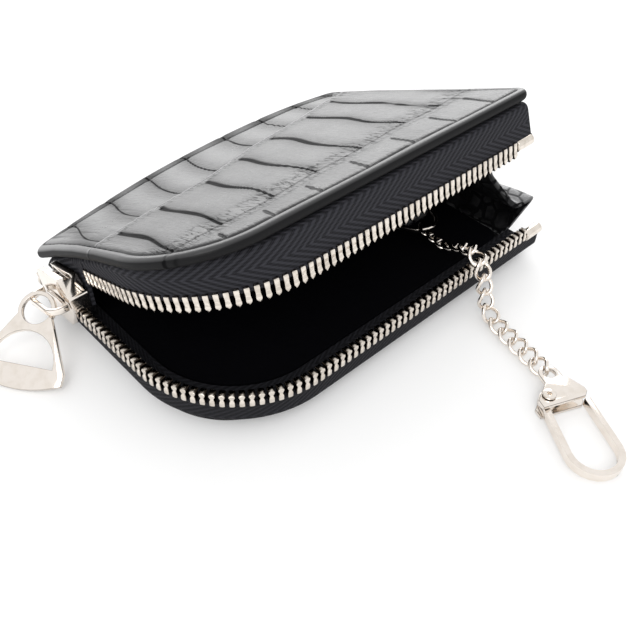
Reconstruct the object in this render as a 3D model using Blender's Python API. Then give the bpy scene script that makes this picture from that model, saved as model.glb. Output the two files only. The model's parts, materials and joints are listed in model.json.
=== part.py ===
"""A zip-around key and coin case that lies open, with its key chain and clip hanging out.

All lengths are in metres and +Z is up. The origin is the centre of the lower cover's underside.
X runs along the spine, from the corner where the slider waits to the gusset end; the zip runs
round the corner between the -X side and the -Y side, and the spine is the +Y side.
"""

import math

import bmesh
import bpy
import numpy as np
from mathutils import Matrix, Vector

MM = 0.001

# Driving dimensions of the case
CASE_LENGTH = 110 * MM
CASE_WIDTH = 76.2 * MM
SPINE_HEIGHT = 22.6 * MM
COVER_THICKNESS = 3.0 * MM
ZIP_CORNER_RADIUS = 22 * MM
SPINE_CORNER_RADIUS = 4.5 * MM
GUSSET_CORNER_RADIUS = 3.5 * MM
CLOSED_ANGLE = math.radians(5.4)
REST_ANGLE = math.radians(20.8)
CLEARANCE = 0.3 * MM
METAL_CLEARANCE = 0.2 * MM
OVERRUN = 1.0 * MM

# Covers
STITCH_INSET = 3.0 * MM
STITCH_GROOVE_WIDTH = 0.9 * MM
STITCH_GROOVE_DEPTH = 0.35 * MM
SLIDER_CORNER_DROOP = 9.1 * MM
GUSSET_CORNER_DROOP = 2.1 * MM
DROOP_FADE_LENGTH_SHARES = (2.65, 5.0)
DROOP_FADE_WIDTH_SHARES = (2.2, 1.0)

# Lining
LINING_INSET = 5.0 * MM
LINING_THICKNESS = 1.0 * MM
INNER_CORNER_RADIUS = 24.5 * MM

# Zip tape and teeth
TAPE_THICKNESS = 1.0 * MM
TAPE_SEAM = 4.6 * MM
ZIP_END_SETBACK = 1.5 * MM
ROW_START_FROM_SPINE = 6.5 * MM
LOWER_ROW_SIDE_OUTSET = 1.9 * MM
LOWER_ROW_OUTSET = 4.0 * MM
LOWER_ROW_RADIUS = 27.7 * MM
UPPER_ROW_SIDE_INSET = 2.0 * MM
UPPER_ROW_INSET = 1.1 * MM
UPPER_ROW_RADIUS = 28.6 * MM
ROW_HEIGHT_AT_SLIDER = 5.2 * MM
ROW_HEIGHT_AT_CORNER = 8.4 * MM
TOOTH_PITCH = 2.5 * MM
TOOTH_LENGTH = 4.3 * MM
TOOTH_WIDTH = 1.35 * MM
TOOTH_TIP_WIDTH = 0.6 * MM
TOOTH_HEAD_LENGTH = 1.4 * MM
TOOTH_DEPTH = 2.4 * MM
TOOTH_HEAD_DEPTH = 1.7 * MM
CORD_RADIUS = 0.75 * MM
ROW_CLOSED_GAP = 0.4 * MM
STOP_LENGTH = 6.5 * MM
STOP_RADIUS = 1.5 * MM

# Gusset
GUSSET_FOLD_LENGTH = 24 * MM
GUSSET_THICKNESS = 1.6 * MM
GUSSET_SEAM = 4.7 * MM
GUSSET_BEND_RADIUS = 1.1 * MM

# Spine strip
SPINE_STRIP_THICKNESS = 1.4 * MM
SPINE_STRIP_SEAM = 6.0 * MM
SPINE_END_SETBACK = 5.2 * MM

# Slider
SLIDER_LENGTH = 15.4 * MM
SLIDER_PLATE = 1.0 * MM
SLIDER_NOSE_WIDTH = 12.8 * MM
SLIDER_TAIL_WIDTH = 11.2 * MM
SLIDER_FROM_SPINE = 20.6 * MM
SLIDER_LIFT = 0.9 * MM
SLIDER_TILT = math.radians(9.0)
POST_WIDTH = 2.4 * MM
BRIDGE_LENGTH = 13 * MM
BRIDGE_WIDTH = 1.7 * MM
BRIDGE_THICKNESS = 1.0 * MM
BRIDGE_RISE = 7.0 * MM
BRIDGE_CORNER_RADIUS = 3.0 * MM
PAWL_THICKNESS = 0.4 * MM
PAWL_WIDTH = 1.6 * MM
PAWL_LENGTH = 8.0 * MM
PAWL_LIFT = 0.1 * MM

# Puller
PULLER_EYE_RADIUS = 3.6 * MM
PULLER_EYE_RIM = 1.0 * MM
PULLER_HANG = 1.1 * MM
PULLER_THICKNESS = 1.2 * MM
PULLER_FLOOR_GAP = 0.2 * MM
PULLER_WIDTH = 22.1 * MM
PULLER_SHIFT = 0.3 * MM
PULLER_SIDE_WIDTH = 3.0 * MM
PULLER_TREAD_DEPTH = 3.4 * MM
PULLER_TREAD_BOW = 2.4 * MM
PULLER_ARCH_HEIGHT = 8.2 * MM
PULLER_HEADING = math.radians(214.2)
PULLER_FALL = math.radians(31.4)

# Key tab and ring
TAB_X = 34.0 * MM
TAB_WIDTH = 10.0 * MM
TAB_THICKNESS = 1.1 * MM
TAB_LAYER_GAP = 0.05 * MM
TAB_LENGTH = 15.0 * MM
TAB_RIVET_Y = -3.0 * MM
TAB_LOOP_Y = -13.0 * MM
RING_WIDTH = 12.0 * MM
RING_DEPTH = 8.0 * MM
RING_BAND_WIDTH = 1.6 * MM
RING_BAND_THICKNESS = 1.2 * MM
RIVET_RADIUS = 2.2 * MM
RIVET_HEIGHT = 0.9 * MM
RIVET_SHANK = 0.9 * MM

# Chain
LINK_COUNT = 16
LINK_PITCH = 4.0 * MM
LINK_WIDTH = 5.0 * MM
WIRE_DIAMETER = 1.0 * MM
LINK_TWIST = math.radians(45.0)
LINK_STEPS = 14
FIRST_LINK_ROLL = math.radians(-45.0)
ROLLED_LINKS = 5
WIRE_SIDES = 6
CHAIN_ROW_CLEARANCE = 0.9 * MM
CHAIN_STEP = 0.02 * MM
CHAIN_FLOOR_GAP = 0.1 * MM
CHAIN_HEADING = math.radians(254.5)
CHAIN_START_HEIGHT = 7.3 * MM
CHAIN_START_SHIFT = 2.6 * MM
CHAIN_START_SLACK = 1.1 * MM
CHAIN_END_RISE = 0.8 * MM
CHAIN_CREST_HALF = 3.0 * MM
CHAIN_BEND_RADIUS = 5.5 * MM
CHAIN_DROP_RUN = 5.0 * MM

# Clip
CLIP_PLATE_THICKNESS = 0.8 * MM
CLIP_PLATE_GAP = 2.6 * MM
CLIP_EAR_RADIUS = 2.6 * MM
CLIP_EAR_OFFSET = 1.35 * MM
CLIP_HEADING = math.radians(247)
CLIP_EAR_HOLE = 1.5 * MM
CLIP_EAR_THICKNESS = 1.0 * MM
CLIP_SHOULDER = 2.3 * MM
CLIP_FOLD = 0.8 * MM
CLIP_LENGTH = 9.2 * MM
CLIP_LEFT = 7.4 * MM
CLIP_RIGHT = 4.8 * MM
CLIP_NOTCH = 1.2 * MM
CLIP_RIVET_PLACE = (6.4 * MM, -4.4 * MM)
CLIP_RIVET_RADIUS = 1.6 * MM
CLIP_RIVET_SHANK = 1.1 * MM
CLIP_RIVET_HEAD = 0.4 * MM
CLIP_LOOP_EYE = 2.1 * MM
CLIP_LOOP_LENGTH = 22.0 * MM
CLIP_LOOP_WIDTH = 13.2 * MM
CLIP_LOOP_LEAN = math.radians(-9.7)
CLIP_LOOP_BAND = 2.2 * MM
CLIP_LOOP_THICKNESS = 1.4 * MM

# Places worked out from the driving dimensions
HALF_LENGTH = CASE_LENGTH / 2
HALF_WIDTH = CASE_WIDTH / 2
HINGE = Vector((0, HALF_WIDTH - SPINE_HEIGHT / 2 + COVER_THICKNESS, SPINE_HEIGHT / 2))
ROW_START_Y = HALF_WIDTH - ROW_START_FROM_SPINE
LOWER_CORNER_START_Y = -HALF_WIDTH - LOWER_ROW_OUTSET + LOWER_ROW_RADIUS
LINING_BACK_Y = HINGE.y - SPINE_STRIP_SEAM - 2 * CLEARANCE
SLIDER_Y = HALF_WIDTH - SLIDER_FROM_SPINE
SLIDER_NOSE_Y = SLIDER_Y - SLIDER_LENGTH / 2
LINK_LENGTH = LINK_PITCH + 2 * WIRE_DIAMETER + METAL_CLEARANCE


def clear_scene():
    for obj in list(bpy.data.objects):
        bpy.data.objects.remove(obj, do_unlink=True)


def finish(name, colour, roughness, metallic):
    """A Principled material with one colour."""
    material = bpy.data.materials.new(name)
    material.use_nodes = True
    shader = material.node_tree.nodes["Principled BSDF"]
    shader.inputs["Base Color"].default_value = (*colour, 1)
    shader.inputs["Roughness"].default_value = roughness
    shader.inputs["Metallic"].default_value = metallic
    material.diffuse_color = (*colour, 1)
    return material


def add_object(name, shape, material, parent=None, smooth_angle=35):
    """Puts a bmesh into the scene as one named object."""
    bmesh.ops.recalc_face_normals(shape, faces=shape.faces)
    mesh = bpy.data.meshes.new(name)
    shape.to_mesh(mesh)
    shape.free()
    mesh.materials.append(material)
    mesh.shade_smooth()
    mesh.set_sharp_from_angle(angle=math.radians(smooth_angle))
    obj = bpy.data.objects.new(name, mesh)
    bpy.context.scene.collection.objects.link(obj)
    obj.parent = parent
    return obj


def add_empty(name, matrix, parent=None):
    empty = bpy.data.objects.new(name, None)
    bpy.context.scene.collection.objects.link(empty)
    empty.empty_display_size = SPINE_HEIGHT / 2
    empty.parent = parent
    empty.matrix_local = matrix
    return empty


def combine(obj, helper, operation):
    """Joins a helper to an object, or cuts it away, and keeps the helper out of the render."""
    helper.hide_render = True
    helper.display_type = "WIRE"
    modifier = obj.modifiers.new(f"{operation.title()} {helper.name}", "BOOLEAN")
    modifier.operation = operation
    modifier.object = helper
    return obj


def loft(shape, rings, closed=False):
    """Skins a row of equal rings of points, and caps the ends unless the row closes on itself."""
    rows = [[shape.verts.new(Vector(point)) for point in ring] for ring in rings]
    pairs = list(zip(rows, rows[1:]))
    if closed:
        pairs.append((rows[-1], rows[0]))
    for first, second in pairs:
        for index in range(len(first)):
            following = (index + 1) % len(first)
            shape.faces.new((first[index], first[following], second[following], second[index]))
    if not closed:
        shape.faces.new(rows[0])
        shape.faces.new(reversed(rows[-1]))
    return shape


def prism(shape, outline, low, high, matrix=Matrix.Identity(4)):
    """Extrudes a flat outline from low to high along Z and places it."""
    rings = [[matrix @ Vector((x, y, z)) for x, y in outline] for z in (low, high)]
    return loft(shape, rings)


def arc(centre, radius, start, end, steps):
    """Points on an arc, with the angles in degrees."""
    angles = np.radians(np.linspace(start, end, steps + 1))
    return [(centre[0] + radius * math.cos(a), centre[1] + radius * math.sin(a)) for a in angles]


def ribbon(points, thickness):
    """A closed strip outline of even thickness about a flat line of points, mitred at its corners."""
    line = np.array(points, float)
    runs = np.diff(line, axis=0)
    runs /= np.linalg.norm(runs, axis=1)[:, None]
    before = np.vstack([runs[:1], runs])
    after = np.vstack([runs, runs[-1:]])
    mean = before + after
    mean /= np.linalg.norm(mean, axis=1)[:, None]
    mitre = 1 / (mean * before).sum(axis=1)
    side = np.stack([-mean[:, 1], mean[:, 0]], axis=1) * (mitre * thickness / 2)[:, None]
    return [tuple(p) for p in line + side] + [tuple(p) for p in (line - side)[::-1]]


def rounded_line(points, radius, steps=3):
    """A flat line of points with every corner replaced by an arc."""
    line = [points[0]]
    for before, corner, after in zip(points, points[1:], points[2:]):
        corner = Vector(corner)
        into = (corner - Vector(before)).normalized()
        out = (Vector(after) - corner).normalized()
        turn = math.acos(max(-1, min(1, into.dot(out))))
        cut = radius * math.tan(turn / 2)
        towards = (out - into).normalized()
        centre = corner + towards * math.hypot(radius, cut)
        side = (corner - into * cut) - centre
        sense = math.copysign(1, into.x * out.y - into.y * out.x)
        for share in np.linspace(0, 1, steps + 1):
            turned = Matrix.Rotation(sense * turn * share, 2) @ side
            line.append(tuple(centre + turned))
    return line + [points[-1]]


def round_section(width, height, radius, steps=2):
    """A rectangle with rounded corners about the origin."""
    x, y = width / 2 - radius, height / 2 - radius
    points = []
    for centre, start in (((x, y), 0), ((-x, y), 90), ((-x, -y), 180), ((x, -y), 270)):
        points += arc(centre, radius, start, start + 90, steps)
    return points


def sweep(shape, path, ups, section, closed=False):
    """Carries a section along a path of points; ups gives the section's Y direction at each point."""
    rings = []
    count = len(path)
    for index, (point, up) in enumerate(zip(path, ups)):
        before = path[index - 1] if closed or index else path[index]
        after = path[(index + 1) % count] if closed or index < count - 1 else path[index]
        run = (Vector(after) - Vector(before)).normalized()
        side = run.cross(Vector(up)).normalized()
        true_up = side.cross(run)
        rings.append([Vector(point) + side * x + true_up * y for x, y in section])
    return loft(shape, rings, closed)


def plan_outline(bounds, radii, inset, steps=6):
    """The rounded outline of a panel in plan, drawn in by an inset, always with as many points."""
    x0, x1, y0, y1 = bounds
    corners = ((x0, y0, 180), (x1, y0, 270), (x1, y1, 0), (x0, y1, 90))
    points = []
    for (x, y, start), radius in zip(corners, radii):
        left = max(radius - inset, CLEARANCE)
        cx = x + math.copysign(inset + left, -x if x else 1)
        cy = y + (inset + left if start in (180, 270) else -inset - left)
        points += arc((cx, cy), left, start, start + 90, steps)
    return points


COVER_BOUNDS = (-HALF_LENGTH, HALF_LENGTH, -HALF_WIDTH, HALF_WIDTH)
COVER_RADII = (ZIP_CORNER_RADIUS, GUSSET_CORNER_RADIUS, SPINE_CORNER_RADIUS, SPINE_CORNER_RADIUS)
LINING_BOUNDS = (-HALF_LENGTH + LINING_INSET, HALF_LENGTH - GUSSET_SEAM - 2 * CLEARANCE,
                 -HALF_WIDTH + LINING_INSET, LINING_BACK_Y)
LINING_RADII = (INNER_CORNER_RADIUS, GUSSET_CORNER_RADIUS, GUSSET_CORNER_RADIUS,
                GUSSET_CORNER_RADIUS)


def panel(bounds, radii, bottom, thickness, stitched):
    """A flat panel with a turned, half-round edge, and a stitch groove round its outer face."""
    radius = thickness / 2
    rings = []
    for angle in np.radians(np.linspace(-90, 90, 7)):
        inset = radius * (1 - math.cos(angle))
        rings.append((inset, bottom + radius + radius * math.sin(angle)))
    if stitched:
        top = bottom + thickness
        half = STITCH_GROOVE_WIDTH / 2
        rings += [(STITCH_INSET - half, top), (STITCH_INSET, top - STITCH_GROOVE_DEPTH),
                  (STITCH_INSET + half, top)]
    shape = bmesh.new()
    loft(shape, [[(x, y, z) for x, y in plan_outline(bounds, radii, inset)] for inset, z in rings])
    return shape


def droop(x, y):
    """How far the soft cover sinks below its plane: at the slider corner and the gusset corner."""
    along = min(max((x + HALF_LENGTH) / CASE_LENGTH, 0), 1)
    back = min(max(1 - (HALF_WIDTH - y) / CASE_WIDTH, 0), 1)
    slider_end = (1 - along) ** DROOP_FADE_LENGTH_SHARES[0] * back ** DROOP_FADE_WIDTH_SHARES[0]
    gusset_end = along ** DROOP_FADE_LENGTH_SHARES[1] * back ** DROOP_FADE_WIDTH_SHARES[1]
    return SLIDER_CORNER_DROOP * slider_end + GUSSET_CORNER_DROOP * gusset_end


def opened(point, angle):
    """Turns a point of the parallel case about the hinge, so that the front rises by an angle."""
    return Matrix.Rotation(-angle, 4, "X") @ (Vector(point) - HINGE)


def upper_point(x, y, z):
    """A place in the upper cover, drooped, as the closed case holds it, seen from the hinge."""
    return opened((x, y, z - droop(x, y)), CLOSED_ANGLE)


def bend_upper_panel(shape, slices=(10, 7)):
    """Cuts a flat panel into a grid and lets its corners droop."""
    for axis, count, half in ((0, slices[0], HALF_LENGTH), (1, slices[1], HALF_WIDTH)):
        normal = Vector((axis == 0, axis == 1, 0))
        for share in np.linspace(-1, 1, count + 2)[1:-1]:
            cut = normal * half * share
            geometry = shape.verts[:] + shape.edges[:] + shape.faces[:]
            bmesh.ops.bisect_plane(shape, geom=geometry, plane_co=cut, plane_no=normal)
    for vertex in shape.verts:
        vertex.co = upper_point(*vertex.co)
    return shape


class ZipPath:
    """The line of a tooth row in plan: down the side, round the corner, along the front."""

    def __init__(self, side_outset, front_outset, radius, end_x):
        self.side_x = -HALF_LENGTH - side_outset
        self.front_y = -HALF_WIDTH - front_outset
        self.radius = radius
        self.centre = Vector((self.side_x + radius, self.front_y + radius))
        self.lengths = (ROW_START_Y - self.centre.y, radius * math.pi / 2, end_x - self.centre.x)

    def at_share(self, share):
        """The point and the outward direction, with 0 to 1 the side, 1 to 2 the corner, 2 to 3 the front."""
        if share <= 1:
            return Vector((self.side_x, ROW_START_Y - share * self.lengths[0])), Vector((-1, 0))
        if share <= 2:
            angle = (share - 1) * math.pi / 2
            out = Vector((-math.cos(angle), -math.sin(angle)))
            return self.centre + out * self.radius, out
        return Vector((self.centre.x + (share - 2) * self.lengths[2], self.front_y)), Vector((0, -1))

    def at_length(self, length):
        for part, part_length in enumerate(self.lengths):
            if length <= part_length or part == 2:
                return self.at_share(part + length / part_length)
            length -= part_length

    @property
    def total(self):
        return sum(self.lengths)


ZIP_END_X = HALF_LENGTH - ZIP_END_SETBACK
LOWER_PATH = ZipPath(LOWER_ROW_SIDE_OUTSET, LOWER_ROW_OUTSET, LOWER_ROW_RADIUS, ZIP_END_X)
UPPER_PATH = ZipPath(-UPPER_ROW_SIDE_INSET, -UPPER_ROW_INSET, UPPER_ROW_RADIUS, ZIP_END_X)


def row_height(y):
    """Height of the lower teeth's feet: it climbs from the slider corner to the round corner."""
    share = (ROW_START_Y - y) / (ROW_START_Y - LOWER_CORNER_START_Y)
    rise = ROW_HEIGHT_AT_CORNER - ROW_HEIGHT_AT_SLIDER
    return ROW_HEIGHT_AT_SLIDER + rise * min(max(share, 0), 1)


def upper_feet(y):
    """Height of the upper teeth's feet in the closed case, where the tips meet the lower tips."""
    return row_height(y) + 2 * TOOTH_LENGTH + ROW_CLOSED_GAP


def make_covers(leather, cover_hinge):
    lower = panel(COVER_BOUNDS, COVER_RADII, 0, COVER_THICKNESS, stitched=True)
    bmesh.ops.scale(lower, vec=(1, 1, -1), verts=lower.verts)
    bmesh.ops.translate(lower, vec=(0, 0, COVER_THICKNESS), verts=lower.verts)
    add_object("lower_cover", lower, leather)
    upper = panel(COVER_BOUNDS, COVER_RADII, SPINE_HEIGHT - COVER_THICKNESS, COVER_THICKNESS, stitched=True)
    add_object("upper_cover", bend_upper_panel(upper), leather, cover_hinge)


def make_linings(cloth, cover_hinge):
    bottom = COVER_THICKNESS + CLEARANCE
    lower = panel(LINING_BOUNDS, LINING_RADII, bottom, LINING_THICKNESS, stitched=False)
    add_object("lower_lining", lower, cloth)
    bottom = SPINE_HEIGHT - COVER_THICKNESS - CLEARANCE - LINING_THICKNESS
    upper = panel(LINING_BOUNDS, LINING_RADII, bottom, LINING_THICKNESS, stitched=False)
    add_object("upper_lining", bend_upper_panel(upper), cloth, cover_hinge)


def row_shares(path, start):
    """Places along a zip path, from a start length to its end, close enough to draw its corner."""
    first = start / path.lengths[0]
    straight = np.linspace(first, 1, 4)
    corner = np.linspace(1, 2, 9)[1:]
    front = np.linspace(2, 3, 6)[1:]
    return [float(share) for share in (*straight, *corner, *front)]


def make_lower_tape(cloth):
    """The lower tape: a seam allowance on the cover, and a wall that stands up to the teeth."""
    seam = ZipPath(-TAPE_SEAM, -TAPE_SEAM, INNER_CORNER_RADIUS, ZIP_END_X)
    half = TAPE_THICKNESS / 2
    bottom = COVER_THICKNESS + CLEARANCE
    rings = []
    for share in row_shares(LOWER_PATH, 0):
        inner = seam.at_share(share)[0]
        middle, out = LOWER_PATH.at_share(share)
        outer_face, inner_face = middle + out * half, middle - out * half
        top = row_height(middle.y) - CLEARANCE
        rings.append([(*inner, bottom), (*outer_face, bottom), (*outer_face, top), (*inner_face, top),
                      (*inner_face, bottom + TAPE_THICKNESS), (*inner, bottom + TAPE_THICKNESS)])
    add_object("lower_tape", loft(bmesh.new(), rings), cloth)


def make_upper_tape(cloth, cover_hinge, start):
    """The upper tape: a seam allowance under the cover, and a wall that hangs down to the teeth."""
    seam = ZipPath(-TAPE_SEAM, -TAPE_SEAM, INNER_CORNER_RADIUS, ZIP_END_X)
    half = TAPE_THICKNESS / 2
    top = SPINE_HEIGHT - COVER_THICKNESS - CLEARANCE
    rings = []
    for share in row_shares(UPPER_PATH, start):
        inner = seam.at_share(share)[0]
        middle, out = UPPER_PATH.at_share(share)
        outer_face, inner_face = middle + out * half, middle - out * half
        foot = upper_feet(middle.y) + CLEARANCE
        rings.append([upper_point(*inner, top), upper_point(*outer_face, top),
                      Vector((*outer_face, foot)) - HINGE, Vector((*inner_face, foot)) - HINGE,
                      upper_point(*inner_face, top - TAPE_THICKNESS),
                      upper_point(*inner, top - TAPE_THICKNESS)])
    add_object("upper_tape", loft(bmesh.new(), rings), cloth, cover_hinge)


def add_tooth(shape, place, out, upwards):
    """One tooth: a square leg and a head that narrows towards its tip, across the tape."""
    along = Vector((-out.y, out.x, 0))
    across = Vector((out.x, out.y, 0))
    up = Vector((0, 0, upwards))
    levels = ((0, TOOTH_WIDTH, TOOTH_DEPTH), (TOOTH_LENGTH - TOOTH_HEAD_LENGTH, TOOTH_WIDTH, TOOTH_DEPTH),
              (TOOTH_LENGTH, TOOTH_TIP_WIDTH, TOOTH_HEAD_DEPTH))
    rings = []
    for height, width, depth in levels:
        corners = ((-1, -1), (1, -1), (1, 1), (-1, 1))
        rings.append([place + up * height + along * x * width / 2 + across * y * depth / 2
                      for x, y in corners])
    loft(shape, rings)


def make_tooth_row(name, metal, path, start, feet, upwards, origin, parent):
    """A row of teeth on one bead cord, from a start length to the end stop."""
    end = path.total - STOP_LENGTH - TOOTH_PITCH / 2
    count = int((end - start) / TOOTH_PITCH)
    teeth = bmesh.new()
    for index in range(count):
        place, out = path.at_length(start + TOOTH_PITCH * (index + 1 / 2))
        add_tooth(teeth, Vector((*place, feet(place.y))) - origin, out, upwards)
    row = add_object(name, teeth, metal, parent)
    cord_line, ups = [], []
    cord_end = start + TOOTH_PITCH * count
    for length in np.linspace(start, cord_end, 4 * len(row_shares(path, start))):
        place, out = path.at_length(length)
        height = feet(place.y) + upwards * CORD_RADIUS
        cord_line.append(Vector((*place, height)) - origin)
        ups.append((0, 0, 1))
    section = arc((0, 0), CORD_RADIUS, 0, 300, 5)
    cord = add_object(name + "_cord", sweep(bmesh.new(), cord_line, ups, section), metal, parent)
    return combine(row, cord, "UNION")


def make_end_stop(name, metal, path, feet, upwards, origin, parent):
    """A metal tube that closes the free end of a row."""
    place, out = path.at_length(path.total)
    start = Vector((place.x - STOP_LENGTH, place.y, feet(place.y) + upwards * STOP_RADIUS)) - origin
    end = start + Vector((STOP_LENGTH, 0, 0))
    section = arc((0, 0), STOP_RADIUS, 0, 330, 11)
    tube = sweep(bmesh.new(), [start, end], [(0, 0, 1)] * 2, section)
    return add_object(name, tube, metal, parent)


def make_gusset(leather):
    """The end wall: a leather V that folds inwards between the covers, deeper where they gape."""
    thickness = GUSSET_THICKNESS
    front = -HALF_WIDTH + TAPE_SEAM + CLEARANCE
    back = HINGE.y - CLEARANCE - thickness / 2
    seam_x = HALF_LENGTH - GUSSET_SEAM
    edge_x = HALF_LENGTH - thickness / 2
    rings = []
    for y in np.linspace(front, back, 9):
        lid = Vector((edge_x, y, SPINE_HEIGHT - COVER_THICKNESS - CLEARANCE))
        lid.z -= droop(edge_x, y)
        share = (HINGE.y - y) / (HINGE.y - front)
        lid = opened(lid, REST_ANGLE) + HINGE
        height = lid.z - CLEARANCE
        bottom = COVER_THICKNESS + CLEARANCE + thickness / 2
        top = height - thickness / 2
        middle = (top + bottom) / 2
        half = (top - bottom) / 2
        leaf = max(GUSSET_FOLD_LENGTH * share, half * math.sqrt(2))
        depth = math.sqrt(leaf ** 2 - half ** 2)
        line = [(seam_x, bottom), (edge_x, bottom), (edge_x - depth, middle), (edge_x, top), (seam_x, top)]
        line = rounded_line(line, GUSSET_BEND_RADIUS, 4)
        lean = (lid.y - y) / (top - bottom)
        rings.append([(x, y + lean * (z - bottom), z) for x, z in ribbon(line, thickness)])
    add_object("gusset", loft(bmesh.new(), rings), leather, smooth_angle=50)


def make_spine_strip(leather):
    """The leather strip that bends round the spine, from one cover's inner face to the other's."""
    outer = SPINE_HEIGHT / 2 - COVER_THICKNESS - CLEARANCE
    floor = COVER_THICKNESS + CLEARANCE
    rings = []
    half = HALF_LENGTH - SPINE_END_SETBACK
    for x in np.linspace(-half, half, 11):
        faces = []
        for inset in (0, SPINE_STRIP_THICKNESS):
            radius = outer - inset
            face = [Vector((x, HINGE.y - SPINE_STRIP_SEAM, floor + inset))]
            for angle in np.radians(np.linspace(-90, 90, 13)):
                share = min((angle + math.pi / 2) / math.radians(120), 1)
                y = HINGE.y + radius * math.cos(angle)
                z = HINGE.z + radius * math.sin(angle) - droop(x, y) * share
                point = opened((x, y, z), REST_ANGLE * share) + HINGE
                point.z = max(point.z, floor + inset)
                face.append(point)
            y = HINGE.y - SPINE_STRIP_SEAM
            z = HINGE.z + radius - droop(x, y)
            face.append(opened((x, y, z), REST_ANGLE) + HINGE)
            faces.append(face)
        rings.append(faces[0] + faces[1][::-1])
    add_object("spine_strip", loft(bmesh.new(), rings), leather, smooth_angle=50)


def slider_frame():
    """Where the slider waits: X towards its nose, Y outwards, Z across the row, upwards."""
    height = row_height(SLIDER_Y) + TOOTH_LENGTH + SLIDER_LIFT
    place = Vector((LOWER_PATH.side_x, SLIDER_Y, height))
    slope = math.atan((row_height(SLIDER_NOSE_Y) - row_height(SLIDER_Y)) / (SLIDER_Y - SLIDER_NOSE_Y))
    return place, slope


def make_slider(metal):
    """The slider's body, with the bridge that holds the puller and the lock under it."""
    place, slope = slider_frame()
    row_turn = Matrix.Rotation(-slope, 4, "X")
    tilt = Matrix.Rotation(-slope - SLIDER_TILT, 4, "X")
    inner = TOOTH_DEPTH / 2 + METAL_CLEARANCE
    outer = inner + SLIDER_PLATE
    half = SLIDER_LENGTH / 2
    nose, tail = SLIDER_NOSE_WIDTH / 2, SLIDER_TAIL_WIDTH / 2
    profile = [(-half, -tail), (half - nose / 2, -nose), (half, -nose / 3), (half, nose / 3),
               (half - nose / 2, nose), (-half, tail)]
    profile = rounded_line([(-half, 0)] + profile + [(-half, 0)], nose / 4, 3)[1:-1]
    # The profile's X runs to the nose, which is -Y in the world, and its thickness runs outwards
    across = Matrix(((0, 0, -1, 0), (-1, 0, 0, 0), (0, 1, 0, 0), (0, 0, 0, 1)))
    body = add_object("slider_body", prism(bmesh.new(), profile, -outer, outer, tilt @ across), metal)
    body.location = place
    low = row_height(place.y) - METAL_CLEARANCE - place.z
    reach = SLIDER_LENGTH
    channel_top = nose - 2 * SLIDER_PLATE
    post_back = half - SLIDER_PLATE - POST_WIDTH
    channel = [(-reach, low), (reach, low), (reach, METAL_CLEARANCE - SLIDER_LIFT),
               (post_back, METAL_CLEARANCE - SLIDER_LIFT), (post_back, channel_top),
               (-reach, tail - SLIDER_PLATE)]
    cutters = []
    cutters.append(prism(bmesh.new(), channel, -inner, inner, row_turn @ across))
    slot = TAPE_THICKNESS / 2 + CLEARANCE
    slot_end = post_back - METAL_CLEARANCE
    below = low + CLEARANCE
    cutters.append(prism(bmesh.new(), [(-reach, -reach), (reach, -reach), (reach, below), (-reach, below)],
                         -slot, slot, row_turn @ across))
    cutters.append(prism(bmesh.new(), [(-reach, 0), (slot_end, 0), (slot_end, reach), (-reach, reach)],
                         -slot, slot, row_turn @ across))
    seam_top = COVER_THICKNESS + 2 * CLEARANCE + TAPE_THICKNESS - place.z
    seam_cut = [(-reach, -reach), (reach, -reach), (reach, seam_top), (-reach, seam_top)]
    cutters.append(prism(bmesh.new(), seam_cut,
                         -reach, 0, across))
    for label, shape in zip(("channel", "tape_slot", "upper_slot", "seam_relief"), cutters):
        cutter = add_object("slider_" + label, shape, metal)
        cutter.location = place
        combine(body, cutter, "DIFFERENCE")
    strap = [(-BRIDGE_LENGTH / 2, outer + METAL_CLEARANCE), (-BRIDGE_LENGTH / 2, BRIDGE_RISE),
             (BRIDGE_LENGTH / 2, BRIDGE_RISE), (BRIDGE_LENGTH / 2, outer + METAL_CLEARANCE)]
    strap = ribbon(rounded_line(strap, BRIDGE_CORNER_RADIUS, 5), BRIDGE_THICKNESS)
    # The strap's profile lies in the plane of the row and the outward direction
    flat = Matrix(((0, -1, 0, 0), (-1, 0, 0, 0), (0, 0, 1, 0), (0, 0, 0, 1)))
    bridge = prism(bmesh.new(), strap, -BRIDGE_WIDTH / 2, BRIDGE_WIDTH / 2, tilt @ flat)
    bridge = add_object("slider_bridge", bridge, metal, body)
    lift = outer + METAL_CLEARANCE
    pawl = [(-PAWL_LENGTH / 2, lift + PAWL_THICKNESS / 2), (0, lift + PAWL_LIFT + PAWL_THICKNESS / 2),
            (PAWL_LENGTH / 2, lift + PAWL_THICKNESS / 2)]
    pawl = ribbon(rounded_line(pawl, PAWL_LENGTH, 5), PAWL_THICKNESS)
    pawl = prism(bmesh.new(), pawl, -PAWL_WIDTH / 2, PAWL_WIDTH / 2, tilt @ flat)
    add_object("lock_pawl", pawl, metal, body)
    return body, place, tilt


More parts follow.
